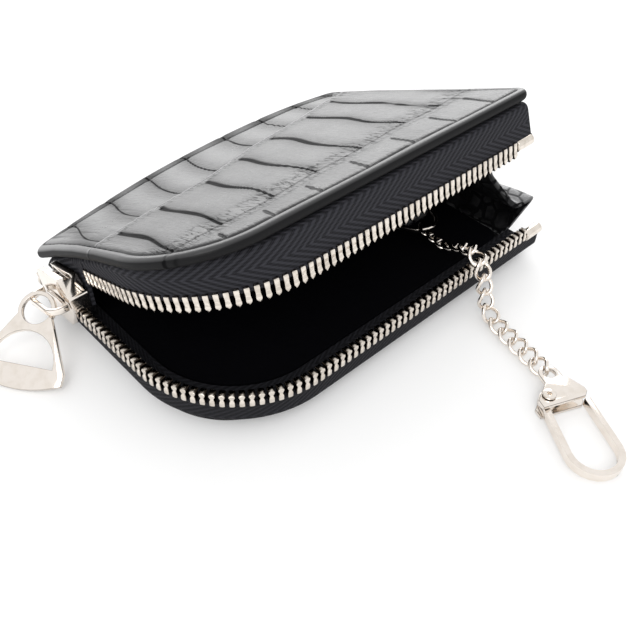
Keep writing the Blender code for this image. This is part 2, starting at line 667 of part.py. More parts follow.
def make_puller(metal, place, tilt):
    """The stirrup puller: an eye round the bridge, two side bars and a bowed tread on the floor."""
    strap = place + tilt @ Vector((-BRIDGE_RISE, PULLER_SHIFT, 0))
    up = Vector((0, 0, math.sin(PULLER_FALL)))
    up.xy = Vector((math.cos(PULLER_HEADING), math.sin(PULLER_HEADING))) * -math.cos(PULLER_FALL)
    side = Vector((-math.sin(PULLER_HEADING), math.cos(PULLER_HEADING), 0)) * -1
    normal = side.cross(up)
    frame = Matrix((side, up, normal)).transposed().to_4x4()
    eye = (0, -PULLER_HANG)
    outer = PULLER_EYE_RADIUS + PULLER_EYE_RIM
    half = PULLER_WIDTH / 2
    bow = [(x * half, -PULLER_TREAD_BOW * (1 - x * x)) for x in np.linspace(-1, 1, 11)]
    # The tread reaches down to the floor, so the puller's length follows from how it leans
    drop = strap.z - PULLER_FLOOR_GAP - PULLER_THICKNESS / 2 * abs(frame[2][2])
    foot = max(-(drop + frame[2][0] * x) / frame[2][1] - y for x, y in bow)
    bow = [(x, foot + y) for x, y in bow]
    crown = arc(eye, outer, -20, 200, 12)
    outline = bow + [(half, foot + PULLER_SIDE_WIDTH)] + crown + [(-half, foot + PULLER_SIDE_WIDTH)]
    plate = prism(bmesh.new(), outline, -PULLER_THICKNESS / 2, PULLER_THICKNESS / 2, frame)
    puller = add_object("stirrup_puller", plate, metal)
    puller.location = strap
    reach = PULLER_THICKNESS / 2 + OVERRUN
    arch_foot = foot + PULLER_TREAD_DEPTH
    arch_half = half - PULLER_SIDE_WIDTH
    arch = [(arch_half * math.cos(a), arch_foot + PULLER_ARCH_HEIGHT * math.sin(a))
            for a in np.radians(np.linspace(0, 180, 15))]
    for label, cut in (("eye", arc(eye, PULLER_EYE_RADIUS, 0, 345, 23)), ("arch", arch)):
        cutter = add_object("puller_" + label, prism(bmesh.new(), cut, -reach, reach, frame), metal)
        cutter.location = strap
        combine(puller, cutter, "DIFFERENCE")
    return puller


def make_key_tab(leather, metal):
    """The leather loop and rivet that hold the key ring, and the ring itself."""
    lining_top = COVER_THICKNESS + 2 * CLEARANCE + LINING_THICKNESS
    half = TAB_THICKNESS / 2
    bar = math.hypot(RING_BAND_WIDTH, RING_BAND_THICKNESS) / 2 + METAL_CLEARANCE + half
    low = lining_top + half
    high = low + TAB_THICKNESS + TAB_LAYER_GAP
    back = TAB_LOOP_Y + TAB_LENGTH
    centre = (TAB_LOOP_Y, low + bar)
    line = [(back, low), (TAB_LOOP_Y, low)] + arc(centre, bar, 270, 90, 10)[1:]
    line += [(TAB_LOOP_Y + bar, centre[1] + bar * 3 / 4), (TAB_LOOP_Y + 2 * bar, high), (back, high)]
    # The two layers are stitched together behind the loop, so they are one strip there
    strip = ribbon(line, TAB_THICKNESS)
    upright = Matrix(((0, 0, 1, 0), (1, 0, 0, 0), (0, 1, 0, 0), (0, 0, 0, 1)))
    tab = add_object("key_tab", prism(bmesh.new(), strip, -TAB_WIDTH / 2, TAB_WIDTH / 2, upright), leather)
    tab.location.x = TAB_X
    hole = prism(bmesh.new(), arc((0, 0), RIVET_SHANK + METAL_CLEARANCE, 0, 330, 11), 0, SPINE_HEIGHT)
    hole = add_object("tab_hole", hole, leather)
    hole.location = (TAB_X, TAB_RIVET_Y, lining_top - OVERRUN)
    combine(tab, hole, "DIFFERENCE")
    top = high + half + METAL_CLEARANCE
    profile = [(RIVET_SHANK, lining_top), (RIVET_SHANK, top), (RIVET_RADIUS, top),
               (RIVET_RADIUS * 3 / 4, top + RIVET_HEIGHT * 3 / 4), (RIVET_RADIUS / 4, top + RIVET_HEIGHT)]
    rings = [[(x, y, z) for x, y in arc((0, 0), radius, 0, 330, 11)] for radius, z in profile]
    rivet = add_object("tab_rivet", loft(bmesh.new(), rings), metal)
    rivet.location = (TAB_X, TAB_RIVET_Y, 0)
    pivot = Vector((TAB_X, TAB_LOOP_Y, centre[1]))
    fall = math.asin((pivot.z - CHAIN_START_HEIGHT) / RING_DEPTH)
    line = [(-RING_WIDTH / 2, 0), (RING_WIDTH / 2, 0)]
    bow = np.radians(np.linspace(12, 168, 13))
    line += [(RING_WIDTH / 2 * math.cos(a), -RING_DEPTH * math.sin(a)) for a in bow]
    turn = Matrix.Rotation(fall, 4, "X")
    loop = [turn @ Vector((x, y, 0)) for x, y in line]
    section = round_section(RING_BAND_THICKNESS, RING_BAND_WIDTH, RING_BAND_THICKNESS / 4, 1)
    up = turn @ Vector((0, 0, 1))
    ring = add_object("key_ring", sweep(bmesh.new(), loop, [up] * len(loop), section, closed=True), metal)
    ring.location = pivot
    return pivot


LINK_END = (LINK_LENGTH - WIRE_DIAMETER) / 2
LINK_SIDE = (LINK_WIDTH - WIRE_DIAMETER) / 2
LINK_HALF_HEIGHT = LINK_SIDE * math.sin(LINK_TWIST) + WIRE_DIAMETER / 2
CHAIN_FLOOR_HEIGHT = LINK_HALF_HEIGHT + CHAIN_FLOOR_GAP
CHAIN_CREST_HEIGHT = ROW_HEIGHT_AT_CORNER + TOOTH_LENGTH + CHAIN_ROW_CLEARANCE + LINK_HALF_HEIGHT
ROW_FRONT_Y = -HALF_WIDTH - LOWER_ROW_OUTSET


def chain_joints():
    """Where the links meet: the chain leaves the ring, climbs over the lower row and lies down."""
    ahead = Vector((math.cos(CHAIN_HEADING), math.sin(CHAIN_HEADING)))
    bow = RING_DEPTH * math.sqrt(1 - (2 * CHAIN_START_SHIFT / RING_WIDTH) ** 2)
    start = Vector((TAB_X - CHAIN_START_SHIFT, TAB_LOOP_Y - bow + CHAIN_START_SLACK))
    crest = (start.y - ROW_FRONT_Y) / -ahead.y
    profile = [(0, CHAIN_START_HEIGHT), (crest - 3 * LINK_PITCH, CHAIN_START_HEIGHT + LINK_PITCH / 2),
               (crest - CHAIN_CREST_HALF, CHAIN_CREST_HEIGHT), (crest + CHAIN_CREST_HALF, CHAIN_CREST_HEIGHT),
               (crest + CHAIN_CREST_HALF + CHAIN_DROP_RUN, CHAIN_FLOOR_HEIGHT),
               (crest + 2 * LINK_COUNT * LINK_PITCH, CHAIN_FLOOR_HEIGHT)]
    line = np.array(rounded_line(profile, CHAIN_BEND_RADIUS, 8))
    joints = [Vector(line[0])]
    fine = []
    for before, after in zip(line, line[1:]):
        count = math.ceil(np.linalg.norm(after - before) / CHAIN_STEP)
        fine += list(np.linspace(before, after, count, endpoint=False))
    for point in fine:
        if (Vector(point) - joints[-1]).length >= LINK_PITCH and len(joints) <= LINK_COUNT:
            joints.append(Vector(point))
    # The last links rise a little, as they roll upright to pass through the clip's ear
    for from_end in range(ROLLED_LINKS):
        joints[-1 - from_end].y += CHAIN_END_RISE * (1 - from_end / ROLLED_LINKS) ** 2
    return [Vector((*(start + ahead * s), z)) for s, z in joints]


def make_link(name, metal, here, there, roll):
    """A twisted curb link: its ends stand at right angles, so that alike links interlock."""
    along = (there - here).normalized()
    across = Vector((-math.sin(CHAIN_HEADING), math.cos(CHAIN_HEADING), 0))
    frame = Matrix((along, across, along.cross(across))).transposed().to_4x4()
    line, ups = [], []
    for phi in np.linspace(0, 2 * math.pi, LINK_STEPS, endpoint=False):
        twist = LINK_TWIST * math.cos(phi)
        side = LINK_SIDE * math.sin(phi)
        reach = LINK_PITCH / 2 + LINK_END * math.cos(phi)
        line.append(Vector((reach, side * math.cos(twist), side * math.sin(twist))))
        ups.append(Vector((0, -math.sin(twist), math.cos(twist))))
    section = arc((0, 0), WIRE_DIAMETER / 2, 0, 300, WIRE_SIDES - 1)
    link = add_object(name, sweep(bmesh.new(), line, ups, section, closed=True), metal)
    link.matrix_world = Matrix.Translation(here) @ frame @ Matrix.Rotation(roll, 4, "X")


def make_clip(metal, end, before):
    """The snap clip: a folded body with an ear for the chain, a rivet and a swinging loop."""
    gap, sheet = CLIP_PLATE_GAP, CLIP_PLATE_THICKNESS
    height = gap + 2 * sheet
    direction = (end - before).normalized()
    heading = Vector((math.cos(CLIP_HEADING), math.sin(CLIP_HEADING), 0))
    side = Vector((-heading.y, heading.x, 0))
    place = Matrix((heading, side, (0, 0, 1))).transposed().to_4x4()
    ear_place = end + direction * CLIP_EAR_OFFSET
    place.translation = Vector((ear_place.x, ear_place.y, CHAIN_FLOOR_GAP))
    ear_height = ear_place.z - CHAIN_FLOOR_GAP
    outline = [(CLIP_SHOULDER, -CLIP_EAR_RADIUS), (CLIP_LENGTH - 2 * CLIP_NOTCH, -CLIP_LEFT),
               (CLIP_LENGTH, -CLIP_LEFT),
               (CLIP_LENGTH, CLIP_RIGHT - CLIP_NOTCH), (CLIP_LENGTH - CLIP_NOTCH, CLIP_RIGHT),
               (CLIP_LENGTH - 2 * CLIP_NOTCH, CLIP_RIGHT), (CLIP_SHOULDER, CLIP_EAR_RADIUS)]
    body = add_object("clip_body", prism(bmesh.new(), outline, 0, height), metal)
    reach = CLIP_LEFT + CLIP_LENGTH
    fold = CLIP_SHOULDER + CLIP_FOLD
    behind_fold = [(fold, -reach), (reach, -reach), (reach, reach), (fold, reach)]
    gap_cut = prism(bmesh.new(), behind_fold, sheet, sheet + gap)
    ear = [(fold, CLIP_EAR_RADIUS), (0, CLIP_EAR_RADIUS)] + arc((0, 0), CLIP_EAR_RADIUS, 90, 270, 10)[1:]
    ear += [(fold, -CLIP_EAR_RADIUS)]
    middle = height / 2
    ear = prism(bmesh.new(), ear, ear_height - CLIP_EAR_THICKNESS / 2, ear_height + CLIP_EAR_THICKNESS / 2)
    ear_hole = prism(bmesh.new(), arc((0, 0), CLIP_EAR_HOLE, 0, 330, 11), -OVERRUN, height + OVERRUN)
    pin = CLIP_RIVET_SHANK + METAL_CLEARANCE
    rivet_hole = prism(bmesh.new(), arc(CLIP_RIVET_PLACE, pin, 0, 330, 11), -OVERRUN, height + OVERRUN)
    helpers = (("gap", gap_cut, "DIFFERENCE"), ("ear", ear, "UNION"), ("ear_hole", ear_hole, "DIFFERENCE"),
               ("rivet_hole", rivet_hole, "DIFFERENCE"))
    for label, shape, operation in helpers:
        helper = add_object("clip_" + label, shape, metal)
        helper.matrix_world = place
        combine(body, helper, operation)
    body.matrix_world = place
    bottom, head = METAL_CLEARANCE / 2, height + METAL_CLEARANCE
    profile = [(CLIP_RIVET_SHANK, bottom), (CLIP_RIVET_SHANK, head), (CLIP_RIVET_RADIUS, head),
               (CLIP_RIVET_RADIUS, head + CLIP_RIVET_HEAD), (CLIP_RIVET_SHANK / 2, head + CLIP_RIVET_HEAD),
               (CLIP_RIVET_SHANK / 2, head - CLIP_RIVET_HEAD)]
    rings = [[(x, y, z) for x, y in arc((0, 0), radius, 0, 330, 11)] for radius, z in profile]
    pivot = place @ Matrix.Translation(Vector((*CLIP_RIVET_PLACE, 0)))
    add_object("clip_rivet", loft(bmesh.new(), rings), metal).matrix_world = pivot
    make_clip_loop(metal, pivot, middle, pin)
    return place, pivot


def make_clip_loop(metal, pivot, middle, pin):
    """The clip's swinging loop: a bent strap with an eye round the rivet."""
    low, high = middle - CLIP_LOOP_BAND / 2, middle + CLIP_LOOP_BAND / 2
    lean = Matrix.Rotation(CLIP_LOOP_LEAN, 2)
    half = (CLIP_LOOP_WIDTH - CLIP_LOOP_THICKNESS) / 2
    to_axis = Vector((0, -CLIP_RIVET_PLACE[1]))
    top = CLIP_LOOP_EYE
    start_side = -half * 4 / 5
    line = [(0, start_side), (CLIP_LOOP_LENGTH / 2, -half)]
    turn = np.radians(np.linspace(0, 180, 13))
    line += [(CLIP_LOOP_LENGTH - half + half * math.sin(a), -half * math.cos(a)) for a in turn]
    line += [(top, half * 4 / 5)]
    line = [tuple(to_axis + lean @ Vector(point)) for point in line]
    line[0] = (0, -CLIP_LOOP_EYE + CLIP_LOOP_THICKNESS / 2)
    strap = prism(bmesh.new(), ribbon(line, CLIP_LOOP_THICKNESS), low, high)
    loop = add_object("clip_loop", strap, metal)
    round_eye = arc((0, 0), CLIP_LOOP_EYE, 0, 337.5, 15)
    eye = add_object("loop_eye", prism(bmesh.new(), round_eye, low, high), metal)
    hole = prism(bmesh.new(), arc((0, 0), pin, 0, 330, 11), low - OVERRUN, high + OVERRUN)
    hole = add_object("loop_hole", hole, metal)
    for obj in (loop, eye, hole):
        obj.matrix_world = pivot
    combine(loop, eye, "UNION")
    combine(loop, hole, "DIFFERENCE")


def main():
    clear_scene()
    leather = finish("Croc leather", (0.025, 0.025, 0.028), 0.35, 0)
    lining = finish("Lining cloth", (0.02, 0.02, 0.022), 0.8, 0)
    tape = finish("Zip tape", (0.012, 0.012, 0.018), 0.75, 0)
    metal = finish("Nickel", (0.78, 0.72, 0.66), 0.22, 1)
    turn = Matrix.Rotation(CLOSED_ANGLE - REST_ANGLE, 4, "X")
    cover_hinge = add_empty("cover_hinge", Matrix.Translation(HINGE) @ turn)
    make_covers(leather, cover_hinge)
    make_linings(lining, cover_hinge)
    upper_start = ROW_START_Y - SLIDER_NOSE_Y + METAL_CLEARANCE
    make_lower_tape(tape)
    make_upper_tape(tape, cover_hinge, upper_start)
    make_tooth_row("lower_tooth_row", metal, LOWER_PATH, 0, row_height, 1, Vector(), None)
    make_tooth_row("upper_tooth_row", metal, UPPER_PATH, upper_start, upper_feet, -1, HINGE, cover_hinge)
    make_end_stop("lower_end_stop", metal, LOWER_PATH, row_height, 1, Vector(), None)
    make_end_stop("upper_end_stop", metal, UPPER_PATH, upper_feet, -1, HINGE, cover_hinge)
    make_gusset(leather)
    make_spine_strip(leather)
    slider, place, tilt = make_slider(metal)
    make_puller(metal, place, tilt)
    make_key_tab(leather, metal)
    joints = chain_joints()
    for index, (here, there) in enumerate(zip(joints, joints[1:])):
        from_end = LINK_COUNT - 1 - index
        roll = FIRST_LINK_ROLL * (max(1 - index / ROLLED_LINKS, 0) - max(1 - from_end / ROLLED_LINKS, 0))
        make_link(f"chain_link_{index + 1:02d}", metal, here, there, roll)
    make_clip(metal, joints[-1], joints[-2])


if __name__ == "__main__":
    main()
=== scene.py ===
"""Dresses the zip-around key and coin case: croc leather, woven tape, cast zip teeth, chain and clip.

The CAD frame gives the place of every piece. Each class below is one sub-assembly of the case. It
repeats the driving sizes that shape it, builds its surfaces as whole numpy arrays, and puts them on the
CAD body that carries them; the walls and the tape behind the slider are left unparented. Lengths are
metres, +Z is up, and the case lies on Z = 0.
"""

import json
import logging
import math
from dataclasses import dataclass, field
from enum import Enum

import bmesh
import bpy
import numpy as np
from mathutils import Matrix, Vector


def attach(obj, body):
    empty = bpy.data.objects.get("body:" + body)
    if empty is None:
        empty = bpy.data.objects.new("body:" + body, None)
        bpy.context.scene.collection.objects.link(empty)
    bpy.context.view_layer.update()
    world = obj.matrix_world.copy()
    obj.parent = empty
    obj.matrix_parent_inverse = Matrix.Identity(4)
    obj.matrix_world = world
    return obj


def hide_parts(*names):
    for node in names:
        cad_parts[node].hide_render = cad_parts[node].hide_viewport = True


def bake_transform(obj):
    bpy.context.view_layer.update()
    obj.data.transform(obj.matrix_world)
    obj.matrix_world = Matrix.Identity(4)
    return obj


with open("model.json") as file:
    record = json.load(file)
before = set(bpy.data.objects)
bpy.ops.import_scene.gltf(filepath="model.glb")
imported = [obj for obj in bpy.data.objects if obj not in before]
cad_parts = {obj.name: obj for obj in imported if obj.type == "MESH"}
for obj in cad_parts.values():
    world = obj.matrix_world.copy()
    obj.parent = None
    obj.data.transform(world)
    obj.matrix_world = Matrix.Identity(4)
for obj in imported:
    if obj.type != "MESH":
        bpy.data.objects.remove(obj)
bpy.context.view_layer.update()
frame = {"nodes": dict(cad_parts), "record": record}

MM = 0.001
MERGE_DISTANCE = 0.002 * MM
LOG = logging.getLogger("key_case")
Array = np.ndarray


class Body(Enum):
    """The CAD bodies that pieces ride on."""

    BASE = "case_base"
    LID = "lid"
    SLIDER = "slider"
    PULLER = "puller"
    RING = "ring"
    CLIP = "clip"
    GATE = "clip_gate"


class Slot(Enum):
    """The record's material slots."""

    LEATHER = "croc_leather"
    LINING = "lining"
    TAPE = "zip_tape"
    METAL = "nickel"


# Node graphs

class Field:
    """A shader value that can be added, multiplied and compared like a number."""

    def __init__(self, graph: "Graph", socket: bpy.types.NodeSocket) -> None:
        """Wraps one output socket of a graph."""
        self.graph = graph
        self.socket = socket

    def math(self, operation: str, *others: "Field | float") -> "Field":
        """Applies one Math operation to this value and others."""
        return self.graph.node("ShaderNodeMath", {"operation": operation}, self, *others)

    def __add__(self, other: "Field | float") -> "Field":
        """Adds."""
        return self.math("ADD", other)

    def __sub__(self, other: "Field | float") -> "Field":
        """Subtracts."""
        return self.math("SUBTRACT", other)

    def __mul__(self, other: "Field | float") -> "Field":
        """Multiplies."""
        return self.math("MULTIPLY", other)

    def __truediv__(self, other: "Field | float") -> "Field":
        """Divides."""
        return self.math("DIVIDE", other)

    def __rsub__(self, other: float) -> "Field":
        """Subtracts this value from a number."""
        return self.graph.node("ShaderNodeMath", {"operation": "SUBTRACT"}, other, self)

    __radd__ = __add__
    __rmul__ = __mul__

    def clamped(self) -> "Field":
        """Keeps the value between 0 and 1."""
        return self.graph.node("ShaderNodeClamp", {}, self)

    def ramp(self, low: float, high: float) -> "Field":
        """Runs smoothly from 0 at low to 1 at high."""
        settings = {"interpolation_type": "SMOOTHSTEP"}
        return self.graph.node("ShaderNodeMapRange", settings, self, low, high, 0.0, 1.0)


class Graph:
    """The node graph of one material or world, with the shader that its values feed."""

    def __init__(self, name: str, kind: str = "materials", shader: str = "Principled BSDF") -> None:
        """Makes a new material or world.

        Args:
            name: Its name.
            kind: The data collection that holds it.
            shader: The shader node that it starts with.
        """
        self.owner = getattr(bpy.data, kind).new(name)
        self.owner.use_nodes = True
        self.nodes = self.owner.node_tree.nodes
        self.links = self.owner.node_tree.links
        self.shader = self.nodes[shader]

    def node(self, kind: str, settings: dict, *values: "Field | float | tuple | None",
             output: int | str = 0, **named: "Field | float | tuple") -> Field:
        """Adds a node, sets it up and feeds its sockets.

        Args:
            kind: The node's type name.
            settings: Attributes that are set before the sockets are filled.
            values: What goes into the sockets in order, with None to leave one alone.
            output: Which output is returned.
            named: What goes into sockets by name, with underscores for spaces.

        Returns:
            The chosen output.
        """
        made = self.nodes.new(kind)
        for key, value in settings.items():
            setattr(made, key, value)
        fills = list(enumerate(values)) + [(key.replace("_", " "), v) for key, v in named.items()]
        for key, value in fills:
            if value is not None:
                self.feed(made.inputs[key], value)
        return Field(self, made.outputs[output])

    def feed(self, socket: bpy.types.NodeSocket, value: "Field | float | tuple") -> None:
        """Links a value to a socket, or sets the socket to a number or a colour.

        Args:
            socket: The socket.
            value: A shader value, a number, or a tuple for a vector or a colour.
        """
        if isinstance(value, Field):
            self.links.new(value.socket, socket)
        elif isinstance(value, tuple) and len(value) == 3 and socket.type == "RGBA":
            socket.default_value = (*value, 1)
        else:
            socket.default_value = value

    def dress(self, **sockets: "Field | float | tuple") -> bpy.types.ID:
        """Fills the shader's sockets by name and returns the material or world.

        Args:
            sockets: What goes into each socket, with underscores for spaces in its name.

        Returns:
            The material or world.
        """
        for key, value in sockets.items():
            self.feed(self.shader.inputs[key.replace("_", " ")], value)
        return self.owner

    def mix_in(self, share: Field, other: Field) -> bpy.types.Material:
        """Lays a share of another shader over this one and returns the material.

        Args:
            share: How much of the other shader shows.
            other: The other shader.

        Returns:
            The material.
        """
        mixed = self.node("ShaderNodeMixShader", {}, share, Field(self, self.shader.outputs[0]), other)
        self.links.new(mixed.socket, self.nodes["Material Output"].inputs["Surface"])
        return self.owner

    def place(self) -> Field:
        """The point in object coordinates, which are metres."""
        return self.node("ShaderNodeTexCoord", {}, output="Object")

    def split(self, vector: Field) -> list[Field]:
        """The X, Y and Z of a vector.

        Args:
            vector: The vector.

        Returns:
            Its three parts.
        """
        parts = self.nodes.new("ShaderNodeSeparateXYZ")
        self.links.new(vector.socket, parts.inputs[0])
        return [Field(self, socket) for socket in parts.outputs]

    def cloth_place(self) -> list[Field]:
        """How far along and across the cloth a point lies, in metres, from its UV map."""
        return self.split(self.node("ShaderNodeUVMap", {"uv_map": "UVMap"}))[:2]

    def noise(self, scale: float, detail: float = 2.0, roughness: float = 0.5) -> Field:
        """Cloudy noise on object coordinates, from 0 to 1, with its scale per metre."""
        return self.node("ShaderNodeTexNoise", {}, Vector=self.place(), Scale=scale, Detail=detail,
                         Roughness=roughness)

    def streaks(self, x: Field, y: Field, **sockets: float) -> Field:
        """Noise on two values, drawn out along the one that is scaled less."""
        place = self.node("ShaderNodeCombineXYZ", {}, x, y)
        return self.node("ShaderNodeTexNoise", {}, Vector=place, Scale=1.0, **sockets)

    def cells(self, scale: float, feature: str = "DISTANCE_TO_EDGE") -> Field:
        """Cell pattern on object coordinates, with its scale per metre."""
        return self.node("ShaderNodeTexVoronoi", {"feature": feature}, Vector=self.place(), Scale=scale)

    def attribute(self, name: str) -> Field:
        """A named value stored on the mesh."""
        return self.node("ShaderNodeAttribute", {"attribute_name": name}, output="Fac")

    def blend_colours(self, share: Field, low: tuple, high: tuple) -> Field:
        """Mixes two colours by a share.

        Args:
            share: 0 gives the low colour and 1 the high one.
            low: A colour.
            high: Another colour.

        Returns:
            The mixed colour.
        """
        mix = self.nodes.new("ShaderNodeMix")
        mix.data_type = "RGBA"
        for socket, value in ((0, share), (6, low), (7, high)):
            self.feed(mix.inputs[socket], value)
        return Field(self, mix.outputs[2])

    def bump(self, height: Field, distance: float) -> Field:
        """Turns a height field into a bumped normal."""
        return self.node("ShaderNodeBump", {}, Strength=1.0, Distance=distance, Height=height)


def apply(operation: str, value: "Field | Array") -> "Field | Array":
    """Applies one function to a shader value or to an array, so that a pattern is written once for both.

    Args:
        operation: SINE, EXPONENT, ABSOLUTE or FRACT.
        value: A shader value or an array.

    Returns:
        The same kind of value.
    """
    if isinstance(value, Field):
        return value.math(operation)
    functions = {"SINE": np.sin, "EXPONENT": np.exp, "ABSOLUTE": np.abs, "FRACT": lambda v: v - np.floor(v)}
    return functions[operation](value)


def step(value: "Field | Array", low: float, high: float) -> "Field | Array":
    """Runs smoothly from 0 at low to 1 at high, on a shader value or an array.

    Args:
        value: A shader value or an array.
        low: Where it gives 0.
        high: Where it gives 1, which may be less.

    Returns:
        The same kind of value.
    """
    if isinstance(value, Field):
        return value.ramp(low, high) if low < high else 1 - value.ramp(high, low)
    share = np.clip((value - low) / (high - low), 0, 1)
    return share * share * (3 - 2 * share)


def bell(value: "Field | Array", sharpness: float) -> "Field | Array":
    """The bell curve exp(-sharpness value ** 2), on a shader value or an array."""
    return apply("EXPONENT", value * value * -sharpness)


# Finishes

@dataclass(frozen=True)
class Grooves:
    """A family of cross grooves: where each meets the front, how they lean, and how wide they are."""

    places: tuple
    lean: float
    widths: tuple

    def gap(self, x: "Field | Array") -> "Field | Array":
        """Distance in millimetres to the nearest groove, from the piecewise line that counts them.

        Args:
            x: Places along the cover, in millimetres.

        Returns:
            The same kind of value.
        """
        steps = len(self.places) - 1
        first, reach = self.places[0], self.places[-1] - self.places[0]
        if isinstance(x, Field):
            curve = x.graph.nodes.new("ShaderNodeFloatCurve")
            points = curve.mapping.curves[0].points
            for k, place in enumerate(self.places[1:-1], 1):
                points.new((place - first) / reach, k / steps)
            for point in points:
                point.handle_type = "VECTOR"
            curve.mapping.update()
            x.graph.feed(curve.inputs["Value"], (x - first) / reach)
            counted = Field(x.graph, curve.outputs[0]) * steps
        else:
            counted = np.interp(x, self.places, np.arange(steps + 1))
        return apply("ABSOLUTE", apply("FRACT", counted + 0.5) - 0.5) * (reach / steps)


class CrocPattern:
    """Embossed croc scales on the plan of a cover, in millimetres.

    Two long creases part the cover into three bands. The one near the spine is a thin raised ridge, and
    the other a shallow line with a fringe of fine wrinkles. Each band has its own cross grooves. All of
    it is written on x and y, which are either arrays or shader values.
    """

    middle = Grooves((-62, -47.5, -35.0, -20.5, -7.3, 7.2, 24.8, 38.0, 52), 0.065, (0.42, 0.85))
    front = Grooves((-64, -50.5, -38.6, -27.0, -13.6, 0.3, 15.5, 30.5, 45.0, 60), -0.15, (0.55, 0.55))
    spine = Grooves((-62, -50.0, -38.2, -25.4, -12.3, 3.0, 17.5, 31.5, 45.0, 60), 0.12, (0.36, 0.36))

    def creases(self, x: "Field | Array", y: "Field | Array") -> tuple:
        """Signed distances to the two long creases: y = 1 + 0.2 r + 0.0009 r ** 2 and y = -28.6 + 0.085 r.

        Args:
            x: Places along the spine.
            y: Places across the cover.

        Returns:
            The distances behind the back crease and the front one.
        """
        run = x + 48
        back = run * 0.2 + run * run * 0.0009 + apply("SINE", run * 0.154) * 0.5 + 1.0
        front = run * 0.085 + apply("SINE", run * 0.19 + 1.0) * 0.45 - 28.6
        return y - back, y - front

    def bands(self, x: "Field | Array", y: "Field | Array") -> tuple:
        """The embossing at each point.

        Args:
            x: Places along the spine.
            y: Places across the cover.

        Returns:
            The groove, ridge, line and fringe shares, the distance to the ridge and the painted shade by the
            grooves.
        """
        behind, ahead = self.creases(x, y)
        near = apply("ABSOLUTE", behind)

        inside = step(behind, -0.8, -2.6) * step(ahead, -0.2, 0.6)
        wave = apply("SINE", y * 0.24 + x * 0.033) * 0.6
        gap = self.middle.gap(x - wave - ahead * self.middle.lean)
        narrow, wide = self.middle.widths
        width = step(ahead, 2.0, 26.0) * (wide - narrow) + narrow
        groove = apply("EXPONENT", gap * gap / (width * width) * -1.0) * inside
        shade = bell(gap, 0.12) * inside

        beyond = step(behind, 0.2, 0.9)
        bend = apply("SINE", behind * 0.15 + 0.4) * 1.5
        gap = self.spine.gap(x + bend - y * self.spine.lean)
        groove = groove + bell(gap, 1 / self.spine.widths[0] ** 2) * beyond * 0.8
        shade = shade + bell(gap, 0.07) * beyond

        nick = step(ahead, -2.6, -4.6) * step(y, -37.6, -36.4)
        gap = self.front.gap(x + ahead * self.front.lean)
        groove = groove + bell(gap, 1 / self.front.widths[0] ** 2) * nick

        line = bell(ahead, 9.0) * 0.7 + bell(ahead + 2.1, 6.0) * 0.22
        fringe = bell(ahead - 1.8, 0.07) + bell(behind + 1.6, 0.5) * 0.45
        return groove, bell(behind, 6.0), line, fringe, near, shade


